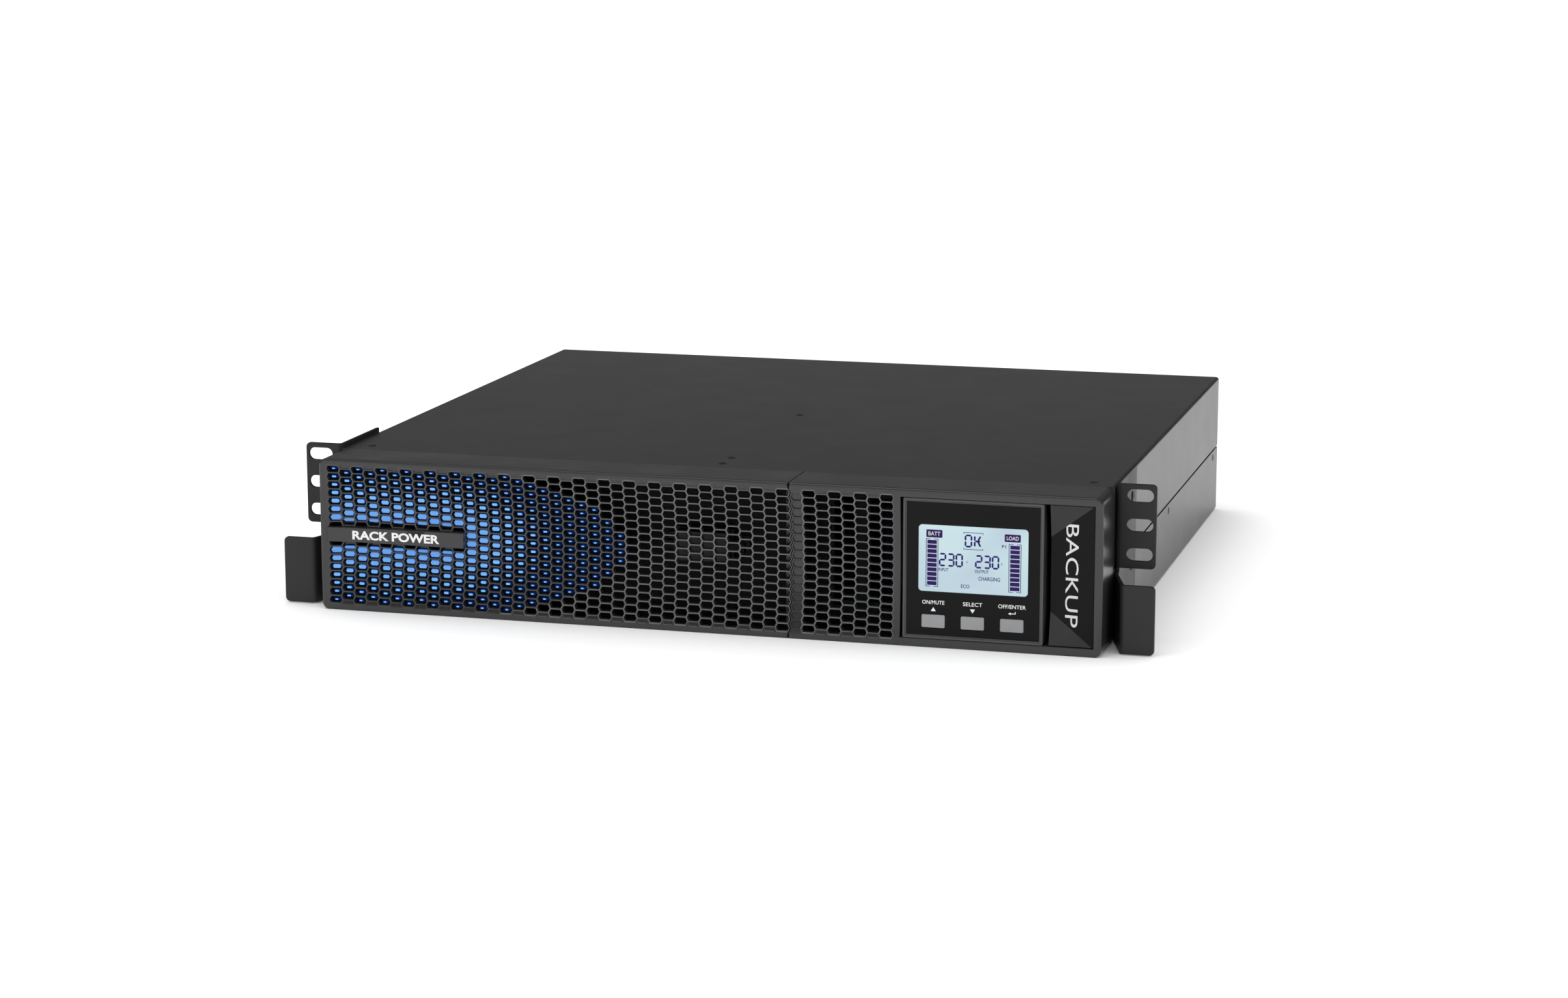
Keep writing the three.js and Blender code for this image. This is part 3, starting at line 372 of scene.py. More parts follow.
def add_plate(bm, loops, d0, d1, bevel=0.3, steps=2, back_bevel=None):
    """A plate with rounded edges, seen from the front: its outline, then any holes."""
    back_bevel = bevel if back_bevel is None else back_bevel
    turns = [k / steps * math.pi / 2 for k in range(steps + 1)]
    sections = [(bevel * (1 - math.sin(turn)), d0 + bevel * (1 - math.cos(turn))) for turn in turns]
    sections += [(back_bevel * (1 - math.sin(turn)), d1 - back_bevel * (1 - math.cos(turn)))
                 for turn in reversed(turns)]
    front_rim, back_rim = [], []
    for order, loop in enumerate(loops):
        side = -1 if order == 0 else 1
        rings = [[bm.verts.new((u, depth, v)) for u, v in grown(loop, side * inset)]
                 for inset, depth in sections]
        add_skin(bm, rings)
        front_rim += rim_of(bm, rings[0])
        back_rim += rim_of(bm, rings[-1])
    fill(bm, front_rim)
    fill(bm, back_rim)


def rectangle(u0, u1, v0, v1):
    return [(u0, v0), (u1, v0), (u1, v1), (u0, v1)]


def rounded(u0, u1, v0, v1, radius, steps=4):
    """A rectangle with round corners."""
    corners = [(u1 - radius, v0 + radius, -90), (u1 - radius, v1 - radius, 0),
               (u0 + radius, v1 - radius, 90), (u0 + radius, v0 + radius, 180)]
    return [(u + radius * math.cos(math.radians(start + 90 * k / steps)),
             v + radius * math.sin(math.radians(start + 90 * k / steps)))
            for u, v, start in corners for k in range(steps + 1)]


def pad(u, v, half_width, half_height, radius, steps=4):
    """A rectangle with round corners, from its middle."""
    return rounded(u - half_width, u + half_width, v - half_height, v + half_height, radius, steps)


def circle(u, v, radius, sides=32):
    return [(u + radius * math.cos(2 * math.pi * i / sides), v + radius * math.sin(2 * math.pi * i / sides))
            for i in range(sides)]


def add_block(bm, low, high, bevel=0.4, steps=2):
    """A block between two corners, with rounded edges."""
    middle = [(a + b) / 2 for a, b in zip(low, high)]
    size = [abs(b - a) for a, b in zip(low, high)]
    matrix = Matrix.Translation(middle) @ Matrix.Diagonal((*size, 1))
    corners = bmesh.ops.create_cube(bm, size=1, matrix=matrix)["verts"]
    if bevel:
        edges = list({edge for corner in corners for edge in corner.link_edges})
        bmesh.ops.bevel(bm, geom=edges, offset=bevel, segments=steps, profile=0.5, affect="EDGES",
                        clamp_overlap=True)


def add_turned(bm, profile, centre, view=front_view, sides=32):
    """A turned shape from (radius, depth) pairs. A radius of 0 closes an end."""
    rings = []
    for radius, depth in profile:
        if radius == 0:
            rings.append([bm.verts.new(view(*centre, depth))])
        else:
            rings.append([bm.verts.new(view(u, v, depth)) for u, v in circle(*centre, radius, sides)])
    for near, far in zip(rings, rings[1:]):
        for i in range(sides):
            corners = [near[i - 1], near[i]] if len(near) > 1 else [near[0]]
            corners += [far[i], far[i - 1]] if len(far) > 1 else [far[0]]
            if len(corners) > 2:
                bm.faces.new(corners)
    if len(rings[0]) > 1 and len(rings[-1]) > 1 and profile[0] != profile[-1]:
        bm.faces.new(rings[0])
        bm.faces.new(rings[-1])


def add_tube(bm, points, radius, closed=False):
    """A round wire along points."""
    sides = 10
    points = [Vector(p) for p in points]
    count = len(points)
    rings = []
    for i, point in enumerate(points):
        before = points[i - 1] if closed or i else point
        after = points[(i + 1) % count] if closed or i < count - 1 else point
        along = (after - before).normalized()
        across = along.cross(Vector((0, 1, 0)) if abs(along.y) < 0.9 else Vector((1, 0, 0))).normalized()
        up = along.cross(across)
        rings.append([bm.verts.new(point + radius * (math.cos(t) * across + math.sin(t) * up))
                      for t in (2 * math.pi * k / sides for k in range(sides))])
    add_skin(bm, rings + rings[:1] if closed else rings)
    if not closed:
        bm.faces.new(rings[0])
        bm.faces.new(rings[-1])


def add_text(bm, words, x, z, height, y, width, turn=0, weight=0.0):
    """Plain capitals centred on x and z, standing out to the front from y."""
    thickness = 0.05
    curve = bpy.data.curves.new("text", "FONT")
    curve.body = words
    curve.extrude = 0.5
    curve.offset = weight
    curve.resolution_u = 4
    holder = bpy.data.objects.new("text", curve)
    mesh = bpy.data.meshes.new_from_object(holder)
    corners = [v.co for v in mesh.vertices]
    low = Vector([min(c[k] for c in corners) for k in range(3)])
    high = Vector([max(c[k] for c in corners) for k in range(3)])
    tall = height / (high.y - low.y)
    wide = width / (high.x - low.x)
    spin = Matrix.Rotation(math.radians(turn), 3, "Y")
    for vertex in mesh.vertices:
        local = vertex.co - (low + high) / 2
        flat = spin @ Vector((local.x * wide, 0, local.y * tall))
        vertex.co = (x + flat.x, y - (thickness / 2 + local.z * thickness), z + flat.z)
    bm.from_mesh(mesh)
    bpy.data.meshes.remove(mesh)
    bpy.data.objects.remove(holder)
    bpy.data.curves.remove(curve)


def add_screw(bm, centre, face, out, radius, height, view=front_view, shank=4.0):
    """A pan head with a cross recess. out is the sign of the direction that the head looks in."""
    u, v = centre
    arm, reach, dig = radius * 0.16, radius * 0.62, height * 0.6
    cross = [(arm, arm), (arm, reach), (-arm, reach), (-arm, arm), (-reach, arm), (-reach, -arm),
             (-arm, -arm), (-arm, -reach), (arm, -reach), (arm, -arm), (reach, -arm), (reach, arm)]
    top = face + out * height
    sections = [(radius * 0.55, top), (radius * 0.8, top - out * height * 0.12),
                (radius * 0.96, top - out * height * 0.4), (radius, face + out * height * 0.1),
                (radius, face), (radius * 0.5, face), (radius * 0.45, face - out * shank)]
    rings = [[bm.verts.new(view(a, b, depth)) for a, b in circle(u, v, size, 24)] for size, depth in sections]
    add_skin(bm, rings)
    bm.faces.new(rings[-1])
    mouth = [bm.verts.new(view(u + a, v + b, top)) for a, b in cross]
    pit = [bm.verts.new(view(u + a * 0.7, v + b * 0.7, top - out * dig)) for a, b in cross]
    add_skin(bm, [mouth, pit])
    bm.faces.new(pit)
    fill(bm, rim_of(bm, rings[0]) + rim_of(bm, mouth))


# ---------------------------------------------------------------- bezels with a honeycomb grille

left_low, left_high = box_mm("left_bezel")
right_high = box_mm("right_bezel")[1]
FRONT = left_low.y
BACK = left_high.y
LEFT, RIGHT = left_low.x, right_high.x
HEIGHT = left_high.z
MIDDLE = HEIGHT / 2
CORNER = 4.0

COLUMN_PITCH, ROW_PITCH = 7.14, 4.62
HALF_ROW = ROW_PITCH / 2
FLAT, POINT = 3.03, 4.11           # half lengths of a lattice hexagon along its flats and its points
OPEN_FLAT, OPEN_POINT, OPEN_HALF = 2.72, 3.6, 1.93
FIRST_COLUMN = LEFT + 8
ROWS = 17
GRILLE_HALF = ROWS / 2 * ROW_PITCH
CLIP = 38.5                        # openings end here, above and below the middle
DIP = 5.2
DIP_RADIUS = (GRILLE_HALF ** 2 + DIP ** 2) / (2 * DIP)
DIP_RUN = 24.5                     # from the left rim to the full dip
FLATTENING = 86                    # from this X to the display's window the dip gets shallower
SKIN = 3.6
SEAM_COLUMN = 36
BLIND_COLUMN = 37
LAST_COLUMN = 44
BEZEL_GAP = 0.62
WINDOW = (110.7, 214.8, 4.5, 80.5)

insert_low = box_mm("accent_insert")[0]
bar_low, bar_high = box_mm("name_bar")
LOBE = (170.0, 48.0)
NO_STUDS = 6.8                     # half height of the strip without studs behind the name bar


def in_lobe(x, z):
    return ((x - insert_low.x) / LOBE[0]) ** 2 + ((z - MIDDLE) / LOBE[1]) ** 2 <= 1


def column_x(column):
    return FIRST_COLUMN + column * COLUMN_PITCH


def dip(x, z):
    """How far the front surface curves in at x and z."""
    offset = min(abs(z - MIDDLE), GRILLE_HALF)
    profile = math.sqrt(DIP_RADIUS ** 2 - offset ** 2) - (DIP_RADIUS - DIP)
    near_left = math.sin(math.pi / 2 * min(1, max(0, (x - LEFT) / DIP_RUN)))
    t = min(1, max(0, (x - FLATTENING) / (WINDOW[0] - FLATTENING)))
    near_window = 1 - 0.55 * t * t * (3 - 2 * t)
    return profile * near_left * near_window


def hexagon(x, z, point, flat, half, top=None, bottom=None):
    """Six corners from the right point, anticlockwise. top and bottom clip the flats."""
    up = half if top is None else min(half, top - z)
    down = half if bottom is None else min(half, z - bottom)
    slope = (point - flat) / half
    return [(x + point, z), (x + point - slope * up, z + up), (x - point + slope * up, z + up),
            (x - point, z), (x - point + slope * down, z - down), (x + point - slope * down, z - down)]


def cell_rows(column):
    """Heights of a column's cells: 17 in even columns, 16 half a row off in odd ones."""
    count = ROWS if column % 2 == 0 else ROWS - 1
    return [MIDDLE + (k - (count - 1) / 2) * ROW_PITCH for k in range(count)]


def surface_ring(bm, loop, depth):
    """Corners along a loop, at a depth behind the curved front surface."""
    return [bm.verts.new((x, FRONT + dip(x, z) + depth, z)) for x, z in loop]


def add_cell(bm, lattice, opening, blind_depth=None):
    """One cell of the grille: a flat land, a rounded lip and its side walls, open or with a floor."""
    lip = 0.2
    depth = SKIN if blind_depth is None else blind_depth
    sections = ((lattice, 0), (grown(opening, lip), 0), (grown(opening, lip * 0.35), lip * 0.4),
                (opening, lip * 1.3), (grown(opening, -0.05), depth))
    rings = [surface_ring(bm, loop, sink) for loop, sink in sections]
    add_skin(bm, rings)
    back = surface_ring(bm, lattice, SKIN)
    if blind_depth is None:
        add_skin(bm, [rings[-1], back])
    else:
        bm.faces.new(rings[-1])
        bm.faces.new(back)


def add_half_recesses(bm, x):
    """The shallow blind half cells at both ends of an odd column."""
    for sign in (1, -1):
        edge = MIDDLE + sign * GRILLE_HALF
        inner = edge - sign * HALF_ROW
        lattice = [(x + POINT, edge), (x + FLAT, inner), (x - FLAT, inner), (x - POINT, edge)]
        z0, z1 = sorted((edge - sign * 0.15, edge - sign * 1.95))
        opening = rounded(x - 2.75, x + 2.75, z0, z1, 0.75, 3)
        outer = surface_ring(bm, lattice, 0)
        sections = ((grown(opening, 0.12), 0), (opening, 0.18), (grown(opening, -0.1), 0.5))
        rings = [surface_ring(bm, loop, sink) for loop, sink in sections]
        add_skin(bm, rings)
        bm.faces.new(rings[-1])
        edges = [bm.edges.new((outer[i - 1], outer[i])) for i in range(4)]
        fill(bm, edges + rim_of(bm, rings[0]))
        bm.faces.new(surface_ring(bm, lattice, SKIN))


def seam_edge(column, shift=0.0):
    """The zigzag right side of a column's cells, upwards."""
    x = column_x(column) + shift
    points = [(x + FLAT, MIDDLE - GRILLE_HALF)]
    for z in cell_rows(column):
        points += [(x + POINT, z), (x + FLAT, z + HALF_ROW)]
    return points


def add_outline(bm, loop, zigzag, bevel, depth, hole=False):
    """The outer side of a bezel along a loop. Edges in zigzag have the skin's thickness only."""
    inset = [1 - math.sin(k * math.pi / 6) for k in range(4)]
    sink = [1 - math.cos(k * math.pi / 6) for k in range(4)]
    soft = grown(loop, bevel if hole else -bevel)

    def corner(i, k):
        (x, z), (sx, sz) = loop[i], soft[i]
        if (round(x, 3), round(z, 3)) in zigzag:
            return x, z
        return x + (sx - x) * inset[k], z + (sz - z) * inset[k]

    rings = []
    for k in range(4):
        places = [corner(i, k) for i in range(len(loop))]
        rings.append(surface_ring(bm, places, bevel * sink[k]))
    rings.append(surface_ring(bm, loop, SKIN))
    rings.append([bm.verts.new((x, FRONT + depth, z)) for x, z in loop])
    add_skin(bm, rings[:-1])
    flagged = [(round(x, 3), round(z, 3)) in zigzag for x, z in loop]
    near, far = rings[-2:]
    for i in range(len(loop)):
        if not (flagged[i - 1] and flagged[i]):
            bm.faces.new((near[i - 1], near[i], far[i], far[i - 1]))


def close_bezel(bm, name, body, node):
    """Fills the front and the back, carries the sides back to the bezel's depth, and paints highlight on the
    grille's webs: their front faces get lighter copies of the bezel plastic, a dimmer one in the studs' lobe."""
    bmesh.ops.remove_doubles(bm, verts=bm.verts, dist=1e-3)
    loose = [edge for edge in bm.edges if not edge.link_faces]
    bmesh.ops.delete(bm, geom=loose, context="EDGES")

    def level(vertex):
        """0 at the front surface, 1 behind the skin and 2 at the bezel's back."""
        depth = vertex.co.y - FRONT
        if depth > BACK - FRONT - 0.5:
            return 2
        return 1 if depth - dip(vertex.co.x, vertex.co.z) > SKIN / 2 else 0

    def open_edges(wanted):
        return [edge for edge in bm.edges if edge.is_boundary and all(level(v) == wanted for v in edge.verts)]

    fill(bm, open_edges(0))
    grown_out = bmesh.ops.extrude_edge_only(bm, edges=open_edges(1))["geom"]
    for vertex in (part for part in grown_out if isinstance(part, bmesh.types.BMVert)):
        vertex.co.y = BACK
    bmesh.ops.remove_doubles(bm, verts=bm.verts, dist=1e-3)
    fill(bm, open_edges(2))
    # Painted highlight: the webs' front faces get a lighter copy of the bezel plastic, a dimmer one in the
    # lobe.
    for face in bm.faces:
        x, y, z = face.calc_center_median()
        on_grille = FIRST_COLUMN - POINT < x < WINDOW[0] - 1 and abs(z - MIDDLE) < GRILLE_HALF
        on_grille = on_grille and abs(x - column_x(BLIND_COLUMN)) > FLAT
        if len(face.verts) == 4 and on_grille and y - FRONT - dip(x, z) < 0.4:
            face.material_index = 2 if in_lobe(x, z) else 1
    shell = finish_piece(name, bm, "bezel_plastic", body, [node])
    for web in ("grille_web_painted_highlight", "lobe_web_weaker_painted_highlight"):
        shell.data.materials.append(LOOKS[web])


def end_wall(name, body, x0, x1):
    """The wall behind the skin at a bezel's side of the seam."""
    wall = bmesh.new()
    add_block(wall, (x0, FRONT + SKIN + DIP + 0.6, 3.3), (x1, BACK, HEIGHT - 3.3), 0.3)
    finish_piece(name, wall, "bezel_plastic", body)


def even_points(start, end, step):
    """Points between two ends, both left out."""
    count = max(1, round((Vector(end) - Vector(start)).length / step))
    return [tuple(Vector(start).lerp(Vector(end), k / count)) for k in range(1, count)]


def arc(x, z, start):
    """A bezel's round corner, anticlockwise from an angle in degrees."""
    turns = [math.radians(start + 90 * k / 6) for k in range(7)]
    return [(x + CORNER * math.cos(turn), z + CORNER * math.sin(turn)) for turn in turns]


def marked(points):
    return {(round(x, 3), round(z, 3)) for x, z in points}


def left_bezel():
    bm = bmesh.new()
    for column in range(SEAM_COLUMN + 1):
        x = column_x(column)
        for z in cell_rows(column):
            opening = hexagon(x, z, OPEN_POINT, OPEN_FLAT, OPEN_HALF, MIDDLE + CLIP, MIDDLE - CLIP)
            add_cell(bm, hexagon(x, z, POINT, FLAT, HALF_ROW), opening)
        if column % 2:
            add_half_recesses(bm, x)
    zigzag = seam_edge(SEAM_COLUMN)
    seam = zigzag[0][0]
    left_side = even_points((LEFT, HEIGHT - CORNER), (LEFT, CORNER), 4)
    outline = [(seam, 0), *zigzag, (seam, HEIGHT), *arc(LEFT + CORNER, HEIGHT - CORNER, 90), *left_side,
               *arc(LEFT + CORNER, CORNER, 180)]
    add_outline(bm, outline, marked(zigzag), 1.0, BACK - FRONT)
    close_bezel(bm, "left_bezel_shell", "front_bezel", "left_bezel")
    end_wall("left_bezel_end_wall", "front_bezel", seam - 3.4, seam - 1.2)


def right_bezel():
    bm = bmesh.new()
    edge = seam_edge(SEAM_COLUMN, BEZEL_GAP)
    shifted = {round(z, 2): x for x, z in edge}
    for column in range(BLIND_COLUMN, LAST_COLUMN + 1):
        x = column_x(column)
        blind = column == BLIND_COLUMN
        for z in cell_rows(column):
            lattice = hexagon(x, z, POINT, FLAT, HALF_ROW)
            opening = hexagon(x, z, OPEN_POINT, OPEN_FLAT, OPEN_HALF, MIDDLE + CLIP, MIDDLE - CLIP)
            if blind:
                for k in (2, 3, 4):
                    lattice[k] = (shifted[round(lattice[k][1], 2)], lattice[k][1])
                opening[2] = (x - 1.55, opening[2][1])
                opening[3] = (x - 2.6, z)
                opening[4] = (x - 1.55, opening[4][1])
            add_cell(bm, lattice, opening, 0.9 if blind else None)
        if column % 2 and not blind:
            add_half_recesses(bm, x)
    # The blind column's ends, up to the line of the grille's edge.
    x = column_x(BLIND_COLUMN)
    for sign in (1, -1):
        rim = MIDDLE + sign * GRILLE_HALF
        inner = rim - sign * HALF_ROW
        corners = [(x + POINT, rim), (x + FLAT, inner), (shifted[round(inner, 2)], inner),
                   (shifted[round(rim, 2)], rim)]
        for depth in (0, SKIN):
            bm.faces.new(surface_ring(bm, corners, depth))
    seam = edge[0][0]
    right_side = even_points((RIGHT, CORNER), (RIGHT, HEIGHT - CORNER), 4)
    outline = [(seam, HEIGHT), *reversed(edge), (seam, 0), *arc(RIGHT - CORNER, CORNER, 270), *right_side,
               *arc(RIGHT - CORNER, HEIGHT - CORNER, 0)]
    add_outline(bm, outline, marked(edge), 1.0, BACK - FRONT)
    x0, x1, z0, z1 = WINDOW
    window = [(x0, z0), (x1, z0), (x1, z1), (x0, z1), *even_points((x0, z1), (x0, z0), 3)]
    add_outline(bm, window, set(), 0.35, BACK - FRONT, hole=True)
    close_bezel(bm, "right_bezel_shell", "chassis", "right_bezel")
    end_wall("right_bezel_end_wall", "chassis", seam + 1.6, seam + 3.8)


left_bezel()
right_bezel()

# ---------------------------------------------------------------- blue studs behind the left grille


def stud_size(x, z):
    """Shares of the opening's width and height: studs shrink away from the name bar's line and its end."""
    beyond_bar = max(0, x - bar_high.x + 14)
    distance = math.hypot(beyond_bar * 0.55, z - MIDDLE)
    return (max(0.24, min(0.88, 1.02 - 0.0208 * distance)), max(0.18, min(0.84, 0.99 - 0.0226 * distance)))


def stud_places():
    for column in range(SEAM_COLUMN):
        x = column_x(column)
        for z in cell_rows(column):
            if in_lobe(x, z):
                yield x, z


def accent_studs():
    bm = bmesh.new()
    # Each stud carries a painted light value per corner: 0 at its foot, painted shade, rising to its face.
    painted_light = bm.verts.layers.float.new("painted_light")
    foot_depth, face_depth = SKIN + 0.15, 1.3

    def ring(loop, depth, light):
        corners = surface_ring(bm, loop, depth)
        for vertex in corners:
            vertex[painted_light] = light
        return corners

    for x, z in stud_places():
        low_end, high_end = z - OPEN_HALF, z + OPEN_HALF
        if x < bar_high.x + 1:
            if abs(z - MIDDLE) < NO_STUDS - OPEN_HALF:
                continue
            if abs(z - MIDDLE) < NO_STUDS + OPEN_HALF:
                low_end = max(low_end, MIDDLE + NO_STUDS) if z > MIDDLE else low_end
                high_end = min(high_end, MIDDLE - NO_STUDS) if z < MIDDLE else high_end
        wide, tall = stud_size(x, z)
        lattice = hexagon(x, z, POINT, FLAT, HALF_ROW)
        foot = [(px, min(high_end, max(low_end, pz)))
                for px, pz in hexagon(x, z, OPEN_POINT * 0.98, OPEN_FLAT * 0.98, OPEN_HALF * 0.96)]
        middle_z = (low_end + high_end) / 2
        squeeze = (high_end - low_end) / (2 * OPEN_HALF)
        point, flat, half = OPEN_POINT * wide, OPEN_FLAT * wide * 0.96, OPEN_HALF * tall
        face = [(px, middle_z + (pz - z) * squeeze) for px, pz in hexagon(x, z, point, flat, half)]
        # Smaller studs get a brighter painted face.
        light = 1.0 - 0.28 * wide
        # The last number of each section is its painted light value.
        sections = ((lattice, foot_depth, 0.0), (foot, foot_depth, 0.05),
                    (grown(face, 0.16), face_depth + 0.45, 0.42),
                    (grown(face, 0.03), face_depth + 0.1, 0.66), (grown(face, -0.12), face_depth, light))
        rings = [ring(*section) for section in sections]
        add_skin(bm, rings)
        bm.faces.new(rings[-1])
        bm.faces.new(ring(lattice, foot_depth + 1.2, 0.0))
    bmesh.ops.remove_doubles(bm, verts=bm.verts, dist=1e-3)
    walls = {}
    for edge in (e for e in bm.edges if e.is_boundary):
        a, b = edge.verts
        key = tuple(sorted(((round(a.co.x, 2), round(a.co.z, 2)), (round(b.co.x, 2), round(b.co.z, 2)))))
        walls.setdefault(key, []).append(edge)
    for pair in walls.values():
        if len(pair) == 2:
            bmesh.ops.bridge_loops(bm, edges=pair)
    finish_piece("accent_studs", bm, "accent_blue", "front_bezel", ["accent_insert"], angle=50)


accent_studs()


def bar_depth(x):
    """The band leaves the rim flush and sinks to a steady depth."""
    run, rim_depth, full_depth = 26, 0.15, 2.0
    t = min(1, max(0, (x - bar_low.x) / run))
    return rim_depth + (full_depth - rim_depth) * math.sin(math.pi / 2 * t)


def name_bar():
    """The band stands a little proud of the curved grille."""
    bm = bmesh.new()
    narrow, wide = 4.05, 4.3
    x0, x1 = bar_low.x - 0.6, bar_high.x
    lower, upper = ((x0, MIDDLE - narrow), (x1, MIDDLE - wide)), ((x1, MIDDLE + wide), (x0, MIDDLE + narrow))
    loop = [lower[0], *even_points(*lower, 3), lower[1], upper[0], *even_points(*upper, 3), upper[1]]
    add_plate(bm, [loop], 0, DIP + SKIN, 0.35, 3)
    for vertex in bm.verts:
        share = 1 - vertex.co.y / (DIP + SKIN)
        vertex.co.y = FRONT + vertex.co.y + share * bar_depth(vertex.co.x)
    finish_piece("name_bar_band", bm, "bezel_plastic", "front_bezel", ["name_bar"])
    text = bmesh.new()
    add_text(text, "RACK POWER", -175.2, MIDDLE, 5.0, 0, 51, weight=0.035)
    for vertex in text.verts:
        vertex.co.y += FRONT + bar_depth(vertex.co.x)
    finish_piece("name_bar_print", text, "white_print", "front_bezel", slot="bezel_plastic")


name_bar()

# ---------------------------------------------------------------- display module

housing_low, housing_high = box_mm("display_housing")
DISPLAY = Vector(((housing_low.x + housing_high.x) / 2, housing_low.y, (housing_low.z + housing_high.z) / 2))
DISPLAY_HALF = (housing_high.x - housing_low.x) / 2
lcd_high = box_mm("lcd_panel")[1]
PANE = {"left": -29.5, "top": 23.8, "width": 59, "height": 36, "radius": 2}
KEYS = {"button_left": "key_left", "button_middle": "key_middle", "button_right": "key_right"}


def local_loop(loop):
    """An outline given from the display's middle."""
    return [(DISPLAY.x + u, DISPLAY.z + v) for u, v in loop]


def square(half, radius=0.5):
    return local_loop(pad(0, 0, half, half, radius))


def display_module():
    bm = bmesh.new()
    front = DISPLAY.y
    step = DISPLAY_HALF - 1.25
    add_plate(bm, [square(DISPLAY_HALF, 0.7), square(step)], front, housing_high.y, 0.25, 3)
    finish_piece("display_frame", bm, "frame_grey", "display", ["display_housing"])
    bm = bmesh.new()
    add_plate(bm, [square(step - 0.02), square(step - 0.6, 0.3)], front + 0.35, front + 3.2, 0.12)
    finish_piece("display_inner_step", bm, "frame_grey", "display")
    pane = rounded(PANE["left"], PANE["left"] + PANE["width"], PANE["top"] - PANE["height"], PANE["top"],
                   PANE["radius"], 6)
    bm = bmesh.new()
    holes = [local_loop(pane)]
    for node in KEYS:
        x, z, _, _ = middle_of(node)
        holes.append(pad(x, z, 6.6, 3.8, 0.6))
    add_plate(bm, [square(step - 0.62, 0.3), *holes], front + 0.5, front + 2.4, 0.08)
    finish_piece("display_front_plate", bm, "gloss_black", "display", ["display_face"])
    bm = bmesh.new()
    add_plate(bm, [grown(local_loop(pane), -0.12)], front + 0.62, lcd_high.y, 0.1, 2)
    finish_piece("lcd_pane", bm, "lcd", "display", ["lcd_panel"])
    for node, body in KEYS.items():
        x, z, key_front, key_back = middle_of(node)
        bm = bmesh.new()
        add_plate(bm, [pad(x, z, 6.3, 3.5, 0.7)], key_front, key_back - 2.0, 0.4, 3)
        add_plate(bm, [pad(x, z, 7.2, 4.4, 0.7)], key_back - 1.98, key_back, 0.2)
        finish_piece(node + "_cap", bm, "key_grey", body, [node])


display_module()

SEGMENTS = {"0": "abcdef", "2": "abged", "3": "abgcd", "O": "abcdef", "K": "efgxy"}


def add_bar(bm, start, end, thick, y):
    """One segment of a digit: a thin bar with pointed ends."""
    a, b = Vector(start), Vector(end)
    along = (b - a).normalized()
    across = Vector((-along.y, along.x)) * thick / 2
    trim = along * thick * 0.6
    tip = along * thick * 0.12
    loop = [a + tip, a + trim - across, b - trim - across, b - tip, b - trim + across, a + trim + across]
    near = [bm.verts.new((p.x, y, p.y)) for p in loop]
    far = [bm.verts.new((p.x, y + 0.04, p.y)) for p in loop]
    add_skin(bm, [near, far])
    bm.faces.new(near)
    bm.faces.new(far)


def add_digit(bm, sign, x, z, width, height, y):
    """A seven-segment sign, from its top left corner."""
    thick = 0.96
    left, right, top, low, mid = x, x + width, z, z - height, z - height / 2
    centre = left + width * 0.5
    bars = {"a": ((left, top), (right, top)), "b": ((right, top), (right, mid)),
            "c": ((right, mid), (right, low)), "d": ((left, low), (right, low)),
            "e": ((left, mid), (left, low)), "f": ((left, top), (left, mid)),
            "g": ((left, mid), (right, mid)), "x": ((centre, mid), (right, top)),
            "y": ((centre, mid), (right, low))}
    for key in SEGMENTS[sign]:
        add_bar(bm, *bars[key], thick, y)


def on_pane(u, v):
    """X and Z of a place given from the pane's top left corner, right and down."""
    return DISPLAY.x + PANE["left"] + u, DISPLAY.z + PANE["top"] - v


def add_patch(bm, u0, u1, v0, v1, y, radius=0.0):
    x0, z1 = on_pane(u0, v0)
    x1, z0 = on_pane(u1, v1)
    loop = rounded(x0, x1, z0, z1, radius, 3) if radius else rectangle(x0, x1, z0, z1)
    add_plate(bm, [loop], y, y + 0.04, 0, 1)


